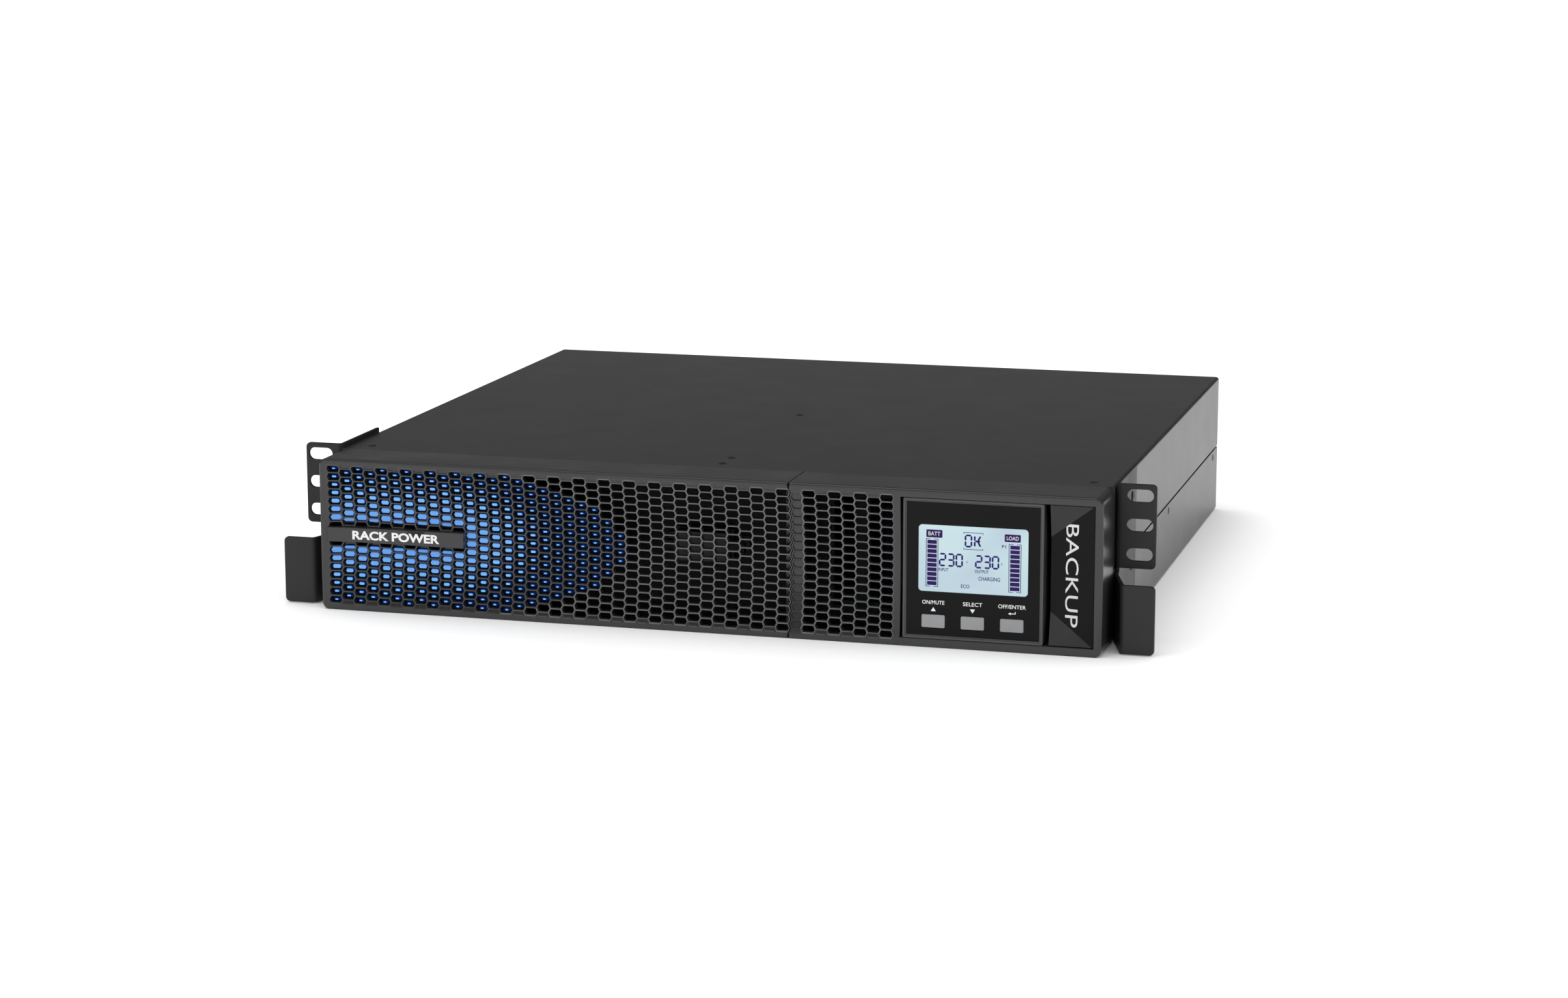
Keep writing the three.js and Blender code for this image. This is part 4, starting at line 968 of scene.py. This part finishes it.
def lcd_graphics():
    y = DISPLAY.y + 0.62 - 0.05
    bars, lines, tags = bmesh.new(), bmesh.new(), bmesh.new()
    for left, top in ((4.9, 8.2), (49.5, 8.9)):
        for k in range(10):
            v = top + k * 2.47
            add_patch(bars, left - 0.1, left + 5.0, v, v + 2.05, y)
        for u0, u1 in ((left - 0.9, left - 0.55), (left + 5.45, left + 5.8)):
            add_patch(lines, u0, u1, top - 0.75, top + 25.05, y)
        for v in (top - 0.75, top + 24.85):
            add_patch(lines, left - 0.9, left + 1.6, v, v + 0.3, y)
            add_patch(lines, left + 3.3, left + 5.8, v, v + 0.3, y)
    add_patch(bars, 4.2, 12.9, 2.6, 6.8, y, 0.5)
    add_patch(bars, 46.3, 54.9, 3.0, 7.1, y, 0.5)
    for words, u, v in (("BATT", 8.55, 4.7), ("LOAD", 50.6, 5.05)):
        x, z = on_pane(u, v)
        add_text(tags, words, x, z, 2.1, y, 6.4)
    for start, signs, pitch, width, height, top in ((11.5, "230", 4.5, 3.1, 6.3, 15.3),
                                                     (31.0, "230", 4.5, 3.1, 6.3, 15.4),
                                                     (25.3, "OK", 5.0, 3.2, 6.0, 4.7)):
        for k, sign in enumerate(signs):
            x, z = on_pane(start + k * pitch, top)
            add_digit(lines, sign, x, z, width, height, y)
    for v in (3.2, 12.2):
        add_patch(lines, 24.2, 34.8, v - 0.15, v + 0.15, y)
    for u, v in ((24.2, 3.3), (34.55, 3.3), (24.2, 11.5), (34.55, 11.5)):
        add_patch(lines, u, u + 0.3, v, v + 0.8, y)
    for words, u, v, height, width in (("INPUT", 13.6, 23.8, 1.75, 5.4), ("OUTPUT", 34.2, 23.8, 1.75, 7.4),
                                       ("CHARGING", 38.3, 27.6, 2.1, 11.6), ("ECO", 25.4, 32.2, 1.95, 4.6),
                                       ("P1", 46.0, 9.7, 1.7, 2.3), ("V", 26.2, 19.2, 1.2, 1.0),
                                       ("V", 44.9, 19.2, 1.2, 1.0)):
        x, z = on_pane(u, v)
        add_text(lines, words, x, z, height, y + 0.04, width, weight=0.012)
    finish_piece("lcd_bars", bars, "lcd_bar_ink", "display", slot="lcd")
    finish_piece("lcd_signs", lines, "lcd_ink", "display", slot="lcd")
    finish_piece("lcd_tag_words", tags, "white_print", "display", slot="lcd")


def face_print():
    y = DISPLAY.y + 0.5
    bm = bmesh.new()
    for node, words, width in (("button_left", "ON/MUTE", 12), ("button_middle", "SELECT", 10.4),
                               ("button_right", "OFF/ENTER", 14.8)):
        x, z, _, _ = middle_of(node)
        add_text(bm, words, x, z + 10.2, 2.1, y, width, weight=0.008)
        if node == "button_right":
            arrow = [(-2.0, 0), (-0.7, 0.75), (-0.7, 0.2), (1.6, 0.2), (1.6, 1.1), (2.0, 1.1), (2.0, -0.2),
                     (-0.7, -0.2), (-0.7, -0.75)]
        else:
            tip = 1.1 if node == "button_left" else -1.1
            arrow = [(-1.35, -tip), (1.35, -tip), (0, tip)]
        add_plate(bm, [[(x + u, z + 6.5 + v) for u, v in arrow]], y - 0.05, y, 0, 1)
    finish_piece("key_labels", bm, "white_print", "display", slot="gloss_black")


lcd_graphics()
face_print()

# ---------------------------------------------------------------- end panel with its valley

badge_low, badge_high = box_mm("badge_panel")


def end_panel():
    """A panel cut in by two slanted facets that meet in a valley, with its word running down. Both facets are
    painted light, lighter copies of the panel's black, the lower one lighter.
    """
    x0, x1, y0, y1 = badge_low.x, badge_high.x, badge_low.y, badge_high.y
    z0, z1 = badge_low.z, badge_high.z
    valley, valley_half = 4.2, 19.5
    word_x, word_height, word_length = 202.4, 7.0, 55
    bm = bmesh.new()
    spots = [(x0, y0, z0), (x1, y0, z0), (x1, y0, z1), (x0, y0, z1), (x0, y0 + valley, MIDDLE + valley_half),
             (x0, y0 + valley, MIDDLE - valley_half), (x0, y1, z0), (x1, y1, z0), (x1, y1, z1), (x0, y1, z1)]
    v = [bm.verts.new(spot) for spot in spots]
    for face in ((3, 2, 4), (0, 5, 1), (2, 1, 5, 4), (0, 1, 7, 6), (1, 2, 8, 7), (2, 3, 9, 8), (6, 7, 8, 9),
                 (0, 6, 9, 3, 4, 5)):
        bm.faces.new([v[i] for i in face])
    bm.normal_update()
    # Painted light: the upper and the lower facet get lighter copies of the panel's black.
    for face in bm.faces:
        if len(face.verts) == 3:
            face.material_index = 2 if face.calc_center_median().z < MIDDLE else 1
    bmesh.ops.bevel(bm, geom=bm.edges[:], offset=0.2, segments=2, profile=0.5, affect="EDGES",
                    clamp_overlap=True)
    panel = finish_piece("end_panel", bm, "gloss_black", "chassis", ["badge_panel"])
    for facet in ("upper_facet_painted_light", "lower_facet_painted_light"):
        panel.data.materials.append(LOOKS[facet])
    text = bmesh.new()
    add_text(text, "BACKUP", word_x, MIDDLE, word_height, y0, word_length, turn=90)
    slope = valley / (x1 - x0)
    for vertex in text.verts:
        vertex.co.y += (x1 - vertex.co.x) * slope
    finish_piece("end_panel_print", text, "silver_print", "chassis", slot="gloss_black")


end_panel()

# ---------------------------------------------------------------- rack ears

EAR = {"sheet": 2.0, "inner_bend": 1.2, "corner": 2.6, "setback": 35, "half_span": 241.3, "plate_low": 41.3,
       "tab_top": 37.6, "jog_out": 7.9, "jog_back": 26, "slot_x": 232.55, "slot": (14, 6.8), "slot_z": 64.8,
       "pitch": 15.875}


def folded_path(corners, convex, neutral):
    """Maps a length along a folded sheet, and a depth into it, to X and Y.

    The corners are those of its convex face, which turns with the convex radius."""
    points = [Vector(corner) for corner in corners]
    legs = []
    trimmed = 0
    for i, (start, end) in enumerate(zip(points, points[1:])):
        along = end - start
        heading = math.atan2(along.x, -along.y)
        turn = 0
        if i + 2 < len(points):
            after = points[i + 2] - end
            turn = math.atan2(after.x, -after.y) - heading
        trim = convex * math.tan(turn / 2)
        legs.append((start + along.normalized() * trimmed, heading, along.length - trimmed - trim, turn))
        trimmed = trim

    def place(u, d):
        for start, heading, straight, turn in legs:
            forward = Vector((math.sin(heading), -math.cos(heading)))
            outward = Vector((math.cos(heading), math.sin(heading)))
            if u <= straight or not turn:
                return start + forward * u + outward * d
            u -= straight
            if u <= neutral * turn:
                angle = heading + u / neutral
                centre = start + forward * straight + outward * convex
                return centre - Vector((math.cos(angle), math.sin(angle))) * (convex - d)
            u -= neutral * turn

    bends = []
    travelled = 0
    for start, heading, straight, turn in legs:
        travelled += straight
        if turn:
            bends.append((travelled, travelled + neutral * turn))
            travelled += neutral * turn
    return place, bends, travelled


def rack_ear(side, name, node):
    """One sheet cut flat and folded: flange, slotted plate, and a slanted arm with its handle tab."""
    low, high = box_mm(node)
    flange, tip = (low.x, high.x) if side > 0 else (-high.x, -low.x)
    rear, tab_front = high.y, low.y
    plate_front = FRONT + EAR["setback"]
    plate_path = ((flange, rear), (flange, plate_front), (EAR["half_span"], plate_front))
    tab_path = ((flange, rear), (flange, tab_front + EAR["jog_back"]), (flange + EAR["jog_out"], tab_front),
                (tip, tab_front))
    convex, neutral = EAR["inner_bend"] + EAR["sheet"], EAR["inner_bend"] + EAR["sheet"] / 2
    place_plate, plate_bends, plate_edge = folded_path(plate_path, convex, neutral)
    place_tab, tab_bends, tab_edge = folded_path(tab_path, convex, neutral)
    relief_edge = plate_bends[0][0] - 0.6
    r = EAR["corner"]

    def corner(u, z, start):
        turns = [math.radians(start + 18 * k) for k in range(6)]
        return [(u + r * math.cos(turn), z + r * math.sin(turn)) for turn in turns]

    tab_top, plate_low = EAR["tab_top"], EAR["plate_low"]
    outline = [(0, low.z), *corner(tab_edge - r, low.z + r, 270), *corner(tab_edge - r, tab_top - r, 0),
               (relief_edge + 2, tab_top), (relief_edge, tab_top + 1.5), (relief_edge, plate_low),
               *corner(plate_edge - r, plate_low + r, 270), *corner(plate_edge - r, high.z - r, 0),
               (0, high.z)]
    loops = [outline]
    slot_u = plate_edge - (EAR["half_span"] - EAR["slot_x"])
    long, tall = EAR["slot"][0] / 2, EAR["slot"][1] / 2
    for k in (-1, 0, 1):
        z = EAR["slot_z"] + k * EAR["pitch"]
        loops.append(pad(slot_u, z, long, tall, tall - 0.01, 8))
    for level in ("upper", "lower"):
        screw_low, screw_high = box_mm(f"ear_screw_{node[:-4]}_{level}")
        middle = (screw_low + screw_high) / 2
        loops.append(circle(rear - middle.y, middle.z, 2.0, 20))
    bm = bmesh.new()
    add_plate(bm, loops, 0, EAR["sheet"], 0.35, 2)
    for start, end in plate_bends + tab_bends:
        for k in range(7):
            geometry = bm.verts[:] + bm.edges[:] + bm.faces[:]
            place = (start + (end - start) * k / 6, 0, 0)
            bmesh.ops.bisect_plane(bm, geom=geometry, plane_co=place, plane_no=(1, 0, 0), dist=1e-5)
    for vertex in bm.verts:
        u, d, z = vertex.co
        spot = (place_tab if z < (plate_low + tab_top) / 2 else place_plate)(u, d)
        vertex.co = (side * spot.x, spot.y, z)
    finish_piece(name, bm, "ear_sheet", "chassis", [node], merge=False, slot="black_sheet")


rack_ear(-1, "left_ear_folded", "left_ear")
rack_ear(1, "right_ear_folded", "right_ear")

# ---------------------------------------------------------------- chassis sheets and screws

cover_low, cover_high = box_mm("top_cover")
tray_low, tray_high = box_mm("bottom_tray")
SHEET, BEND, SHEET_GAP = 1.2, 2.0, 0.6
SEAM_WIDENING = 0.3                # taken off both sheets, to show the gap as wide as the photo does
SHADE_RAIL_LOW, SHADE_RAIL_HIGH = 26, 52       # heights of the rails behind the gap, painted shade black to darken it
SIDE_SCREWS = {"middle": 13.0, "rear": 188.0}
SIDE_SCREW_Z = 36.3


def folded_sheet(node, end, fold, inward):
    """A U of sheet steel seen from the front, with rounded folds."""
    low, high = box_mm(node)
    half = high.x

    def bend(centre, radius, start, sweep):
        turns = [math.radians(start + sweep * k / 8) for k in range(9)]
        return [(centre + radius * math.cos(turn), fold + inward * BEND - inward * radius * math.sin(turn))
                for turn in turns]

    small = BEND - SHEET
    loop = [(-half, end), *bend(-half + BEND, BEND, 180, -90), *bend(half - BEND, BEND, 90, -90), (half, end),
            (half - SHEET, end), *bend(half - BEND, small, 0, 90), *bend(-half + BEND, small, 90, 90),
            (-half + SHEET, end)]
    bm = bmesh.new()
    add_plate(bm, [loop], low.y, high.y, 0.15, 2)
    return bm


def finish_sheets():
    bm = folded_sheet("top_cover", cover_low.z + SEAM_WIDENING, cover_high.z, -1)
    finish_piece("cover_sheet", bm, "black_sheet", "chassis", ["top_cover"], angle=25)
    bm = folded_sheet("bottom_tray", cover_low.z - SHEET_GAP - SEAM_WIDENING, tray_low.z, 1)
    inside = cover_high.x - SHEET
    far = inside - 1.4
    front, rear = tray_low.y + 5, tray_high.y - 10
    for side in (-1, 1):
        for near, top in ((0.4, SHADE_RAIL_HIGH), (0.05, 30)):
            start, end = (side * far, front, SHADE_RAIL_LOW), (side * (inside - near), rear, top)
            add_block(bm, start, end, 0.15, 1)
    post_low, post_high = SHEET - 0.1, box_mm("main_board")[0].z - 0.35
    post = [(0, post_low), (3, post_low), (3, post_high), (0, post_high)]
    for x in (-30, 90, 200):
        for y in (-140, 150):
            add_turned(bm, post, (x, y), top_view, 16)
    # Painted shade: the rails' inner faces get near-black so the seam gap reads dark.
    for face in bm.faces:
        middle = face.calc_center_median()
        if abs(middle.x) < inside - 0.04 and SHADE_RAIL_LOW <= middle.z <= SHADE_RAIL_HIGH:
            face.material_index = 1
    tray = finish_piece("tray_sheet", bm, "black_sheet", "chassis", ["bottom_tray"], angle=25)
    tray.data.materials.append(LOOKS["painted_shade_black"])


def sheet_screws():
    for entry in frame["record"]["subparts"]:
        node = entry["node"]
        if not node.startswith(("cover_screw", "ear_screw")):
            continue
        low, high = box_mm(node)
        x, y, z = [(a + b) / 2 for a, b in zip(low, high)]
        bm = bmesh.new()
        if node.startswith("cover_screw"):
            add_screw(bm, (x, y), HEIGHT + 0.02, 1, 2.1, 0.3, top_view)
            finish_piece(node + "_head", bm, "black_sheet", "chassis", [node])
        else:
            out = 1 if high.x > 0 else -1
            face = (high.x if out > 0 else low.x) - out * 1.8
            add_screw(bm, (y, z), face, out, 2.9, 0.4, side_view)
            finish_piece(node + "_head", bm, "ear_sheet", "chassis", [node], slot="bright_metal")
    for side, side_name in ((-1, "left"), (1, "right")):
        for place, y in SIDE_SCREWS.items():
            bm = bmesh.new()
            add_screw(bm, (y, SIDE_SCREW_Z), side * (RIGHT + 0.02), side, 2.2, 0.3, side_view)
            finish_piece(f"side_screw_{side_name}_{place}", bm, "black_sheet", "chassis")


finish_sheets()
sheet_screws()

# ---------------------------------------------------------------- rear panel fittings

PANEL = box_mm("rear_panel")[1].y
FLANGE_PLATE = 1.6
OUTLET = {"pitch": 31, "width": 24.5, "height": 16.5, "chamfer": 4.5, "depth": 15, "core": 3.2}


def mains_outline(x, z, shrink=0.0):
    """A mains connector's outline, with two corners cut off at the top."""
    w, h = OUTLET["width"] / 2 - shrink, OUTLET["height"] / 2 - shrink
    chamfer = OUTLET["chamfer"] - shrink * 0.3
    return [(x - w, z - h), (x + w, z - h), (x + w, z + h - chamfer), (x + w - chamfer, z + h),
            (x - w + chamfer, z + h), (x - w, z + h - chamfer)]


def add_housing(bm, node, mouths, body_half, depth):
    """A flange on the panel with openings, and the moulded body behind it."""
    x, z, back, face = middle_of(node)
    low, high = box_mm(node)
    flange = rounded(low.x, high.x, low.z, high.z, 2)
    add_plate(bm, [flange, *mouths], face - FLANGE_PLATE, face, 0, back_bevel=0.3)
    body = pad(x, z, *body_half, 1)
    add_plate(bm, [body, *mouths], face - depth, face - FLANGE_PLATE + 0.1, 0, 1)
    add_plate(bm, [body], back, face - depth + 0.1, 0.2, 1)
    return face - depth, face


def outlet_strip(level):
    node = f"{level}_outlet_strip"
    x_middle, z, _, face = middle_of(node)
    spots = [x_middle + (k - 1.5) * OUTLET["pitch"] for k in range(4)]
    low, high = box_mm(node)
    bm = bmesh.new()
    half = ((high.x - low.x) / 2 - 2, (high.z - low.z) / 2 - 1.5)
    floor_y, _ = add_housing(bm, node, [mains_outline(x, z) for x in spots], half, OUTLET["depth"])
    for x in spots:
        slots = [rectangle(x + u - 1.2, x + u + 1.2, z + v - 2.3, z + v + 2.3)
                 for u, v in ((-5.6, -1.3), (0, 1.3), (5.6, -1.3))]
        core = mains_outline(x, z, OUTLET["core"])
        add_plate(bm, [core, *slots], floor_y, face - 0.5, 0, back_bevel=0.3)
    finish_piece(f"{level}_outlets", bm, "socket_black", "chassis", [node])


def power_inlet():
    x, z, _, _ = middle_of("power_inlet")
    bm = bmesh.new()
    floor_y, face = add_housing(bm, "power_inlet", [mains_outline(x, z)], (14, 10.5), 18)
    finish_piece("power_inlet_housing", bm, "socket_black", "chassis", ["power_inlet"])
    pins = bmesh.new()
    for u, v in ((-7, -2), (0, 2), (7, -2)):
        add_block(pins, (x + u - 1, floor_y, z + v - 2), (x + u + 1, face - 6, z + v + 2), 0.4)
    finish_piece("power_inlet_pins", pins, "bright_metal", "chassis")


def breaker():
    x, z, low_y, face = middle_of("breaker_body")
    floor_y = low_y + 10
    bm = bmesh.new()
    add_turned(bm, [(0, low_y), (6.6, low_y), (7, low_y + 0.4), (7, face - 0.4), (6.6, face), (4.8, face),
                    (4.4, face - 0.4), (4.4, floor_y), (0, floor_y)], (x, z))
    nut = [circle(x, z, 9.5, 6), circle(x, z, 6.9, 30)]
    add_plate(bm, nut, PANEL + 0.3, face - 0.4, 0, back_bevel=0.5)
    finish_piece("breaker_housing", bm, "socket_black", "chassis", ["breaker_body"])
    x, z, low_y, face = middle_of("breaker_button")
    bm = bmesh.new()
    add_turned(bm, [(0, low_y), (4, low_y), (4, face - 0.7), (3.75, face - 0.2), (3.2, face),
                    (2.6, face - 0.2), (0, face - 0.4)], (x, z))
    finish_piece("breaker_cap", bm, "reset_red", "reset", ["breaker_button"])


def data_ports():
    x, z, low_y, face = middle_of("usb_port")
    low, high = box_mm("usb_port")
    outline = rounded(low.x, high.x, low.z, high.z, 0.8)
    mouth = [(x - 4.2, z - 3.8), (x + 4.2, z - 3.8), (x + 4.2, z + 2.2), (x + 2.8, z + 3.8),
             (x - 2.8, z + 3.8), (x - 4.2, z + 2.2)]
    bm = bmesh.new()
    add_plate(bm, [outline, mouth], face - 9, face, 0, back_bevel=0.2)
    add_plate(bm, [outline], low_y, face - 8.9, 0.2, 1)
    finish_piece("usb_shell", bm, "bright_metal", "chassis", ["usb_port"])
    inner = bmesh.new()
    add_block(inner, (x - 2.8, face - 9, z - 1.6), (x + 2.8, face - 1.2, z + 1.6), 0.2)
    x, z, low_y, face = middle_of("serial_port")
    low, high = box_mm("serial_port")

    def shell(grow):
        half_low, half_high, tall = 7.2 + grow, 8.6 + grow, 4 + grow
        return [(x - half_low, z - tall), (x + half_low, z - tall), (x + half_high, z + tall),
                (x - half_high, z + tall)]

    bm = bmesh.new()
    add_plate(bm, [shell(0.6), shell(0)], PANEL, face, 0, back_bevel=0.15)
    add_plate(bm, [rounded(low.x, high.x, low.z, high.z, 1.5), shell(0)], PANEL + 0.3, PANEL + 1.1, 0, 2,
              back_bevel=0.2)
    add_plate(bm, [pad(x, z, 10, 5.5, 1)], low_y, PANEL - 4.9, 0.3, 1)
    post = [(0, PANEL + 1), (2.5, PANEL + 1), (2.5, PANEL + 2.7), (2.2, PANEL + 3), (1.2, PANEL + 3),
            (1.2, PANEL + 2), (0, PANEL + 2)]
    for side in (-1, 1):
        add_turned(bm, post, (x + side * 12.5, z), sides=6)
    finish_piece("serial_shell", bm, "bright_metal", "chassis", ["serial_port"])
    holes = [circle(x + (k - 2) * 2.7, z + 1.4, 0.6, 10) for k in range(5)]
    holes += [circle(x + (k - 1.5) * 2.7, z - 1.4, 0.6, 10) for k in range(4)]
    add_plate(inner, [shell(-0.1), *holes], PANEL - 5, face - 1.4, 0, 1)
    finish_piece("port_inserts", inner, "socket_black", "chassis", slot="bright_metal")


def covers_and_terminals():
    x, z, _, face = middle_of("option_slot_cover")
    low, high = box_mm("option_slot_cover")
    bm = bmesh.new()
    outline = rounded(low.x, high.x, low.z, high.z, 1.5)
    grip = pad(x, z, 2, 6, 1.9)
    add_plate(bm, [outline, grip], face - 1.2, face, 0, back_bevel=0.3)
    for x in (low.x + 4.5, high.x - 4.5):
        add_screw(bm, (x, z), face, 1, 2.8, 1.4)
    finish_piece("option_cover", bm, "black_sheet", "chassis", ["option_slot_cover"])
    x, z, _, face = middle_of("expansion_socket")
    bm = bmesh.new()
    mouths = [pad(x + u, z, 6.5, 6.5, 1) for u in (-8.5, 8.5)]
    floor_y, _ = add_housing(bm, "expansion_socket", mouths, (17, 10), 16)
    finish_piece("expansion_housing", bm, "socket_black", "chassis", ["expansion_socket"])
    contacts = bmesh.new()
    for u in (-8.5, 8.5):
        add_block(contacts, (x + u - 4, floor_y, z - 1), (x + u + 4, face - 4, z + 1), 0.4)
    finish_piece("expansion_contacts", contacts, "bright_metal", "chassis")
    x, z, _, face = middle_of("earth_screw")
    bm = bmesh.new()
    add_plate(bm, [circle(x, z, 5.2, 32)], PANEL + 0.1, PANEL + 0.9, 0.15)
    add_screw(bm, (x, z), PANEL + 0.9, 1, 4.2, face - PANEL - 0.9, shank=8)
    finish_piece("earth_terminal", bm, "bright_metal", "chassis", ["earth_screw"])
    bm = bmesh.new()
    for x in (-60, 65, -214, 214):
        for z in (7, HEIGHT - 7):
            add_screw(bm, (x, z), PANEL + 0.02, 1, 2.6, 1.2)
    finish_piece("rear_panel_screws", bm, "black_sheet", "chassis")


outlet_strip("upper")
outlet_strip("lower")
power_inlet()
breaker()
data_ports()
covers_and_terminals()

# ---------------------------------------------------------------- fan

FAN_X, FAN_Z, frame_front, frame_back = middle_of("fan_frame")
FAN_HALF = box_mm("fan_frame")[1].x - FAN_X
FAN_SCREWS = FAN_HALF - 4.3        # from the fan's middle to its screws, along X and along Z
BORE = FAN_HALF - 2
HUB = 17


def around_fan(radius, sides=64):
    return circle(FAN_X, FAN_Z, radius, sides)


def fan_frame():
    bm = bmesh.new()
    square_loop = pad(FAN_X, FAN_Z, FAN_HALF, FAN_HALF, 4, 6)
    holes = [circle(FAN_X + a * FAN_SCREWS, FAN_Z + b * FAN_SCREWS, 2.1, 16)
             for a in (-1, 1) for b in (-1, 1)]
    for start, end in ((frame_front, frame_front + 4), (frame_back - 4, frame_back)):
        add_plate(bm, [square_loop, around_fan(BORE), *holes], start, end, 0.4)
    add_plate(bm, [around_fan(FAN_HALF - 0.1), around_fan(BORE)], frame_front + 3.8, frame_back - 3.8, 0, 1)
    add_turned(bm, [(0, frame_back - 4), (HUB, frame_back - 4), (HUB, frame_back - 0.6),
                    (HUB - 0.6, frame_back), (0, frame_back)], (FAN_X, FAN_Z))
    for k in range(4):
        start, end = math.radians(90 * k + 20), math.radians(90 * k + 48)
        a, b = [Vector((FAN_X + radius * math.cos(turn), FAN_Z + radius * math.sin(turn)))
                for radius, turn in ((HUB - 1, start), (BORE + 1, end))]
        across = (b - a).orthogonal().normalized() * 1.5
        strut = [tuple(p) for p in (a - across, b - across, b + across, a + across)]
        add_plate(bm, [strut], frame_back - 3.6, frame_back - 0.4, 0.3)
    finish_piece("fan_housing", bm, "fan_black", "chassis", ["fan_frame"])


def fan_rotor():
    """A hub with seven swept and twisted blades."""
    _, _, low_y, high_y = middle_of("fan_rotor")
    bm = bmesh.new()
    add_turned(bm, [(0, low_y), (HUB - 1.5, low_y), (HUB, low_y + 1.5), (HUB, high_y - 0.4),
                    (HUB - 0.4, high_y), (0, high_y)], (FAN_X, FAN_Z))
    tip, blades = BORE - 2, 7
    middle_y = (low_y + high_y) / 2
    for blade in range(blades):
        sides = ([], [])
        for i in range(7):
            share = i / 6
            radius = HUB - 0.8 + (tip - HUB + 0.8) * share
            for k in range(6):
                t = k / 5 - 0.5
                angle = 2 * math.pi * blade / blades + 0.3 * share * share + t * (11 + 9 * share) / radius
                depth = middle_y + t * 15.5 + 1.2 * math.cos(math.pi * t)
                thick = 0.75 - 0.35 * abs(2 * t)
                x, z = FAN_X + radius * math.cos(angle), FAN_Z + radius * math.sin(angle)
                for row, sign in zip(sides, (-1, 1)):
                    row.append(bm.verts.new((x, depth + sign * thick, z)))
        for row in sides:
            for i in range(6):
                for k in range(5):
                    a = i * 6 + k
                    bm.faces.new((row[a], row[a + 1], row[a + 7], row[a + 6]))
        rim = [k for k in range(6)] + [i * 6 + 5 for i in range(1, 7)]
        rim += [36 + k for k in range(4, -1, -1)] + [i * 6 for i in range(5, 0, -1)]
        for a, b in zip(rim, rim[1:] + rim[:1]):
            bm.faces.new((sides[0][a], sides[0][b], sides[1][b], sides[1][a]))
    finish_piece("fan_blades", bm, "fan_black", "fan", ["fan_rotor"], angle=50)


def fan_guard():
    """Wire rings welded on two crossed spokes, held by screws at the fan's corners."""
    _, _, low_y, high_y = middle_of("fan_guard")
    wire = 0.7
    bm = bmesh.new()
    for radius in (13, 25, 37):
        add_tube(bm, [(u, low_y + wire, v) for u, v in around_fan(radius, 72)], wire, closed=True)
    short = FAN_SCREWS - 1.9
    for slope in (-1, 1):
        ends = [(FAN_X + k * short, high_y - wire, FAN_Z + k * slope * short) for k in (-1, 1)]
        add_tube(bm, ends, wire)
        for k in (-1, 1):
            eye = circle(FAN_X + k * FAN_SCREWS, FAN_Z + k * slope * FAN_SCREWS, 2.6, 24)
            add_tube(bm, [(u, high_y - wire, v) for u, v in eye], wire, closed=True)
    finish_piece("fan_guard_wires", bm, "bright_metal", "chassis", ["fan_guard"])
    bm = bmesh.new()
    for a in (-1, 1):
        for b in (-1, 1):
            place = (FAN_X + a * FAN_SCREWS, FAN_Z + b * FAN_SCREWS)
            add_screw(bm, place, high_y - 0.1, 1, 3.2, 1.3, shank=5)
    finish_piece("fan_screws", bm, "bright_metal", "chassis")


fan_frame()
fan_rotor()
fan_guard()

# ---------------------------------------------------------------- looks of the CAD nodes

for entry in frame["record"]["subparts"]:
    target = frame["nodes"][entry["node"]]
    target.data.materials.clear()
    # Painted shade: the front panel and the battery door, seen through the grille, get near-black instead of
    # their slots' looks.
    painted_shade_face = entry["node"] in ("front_panel", "battery_door")
    target.data.materials.append(LOOKS["painted_shade_black" if painted_shade_face else entry["material_slot"]])
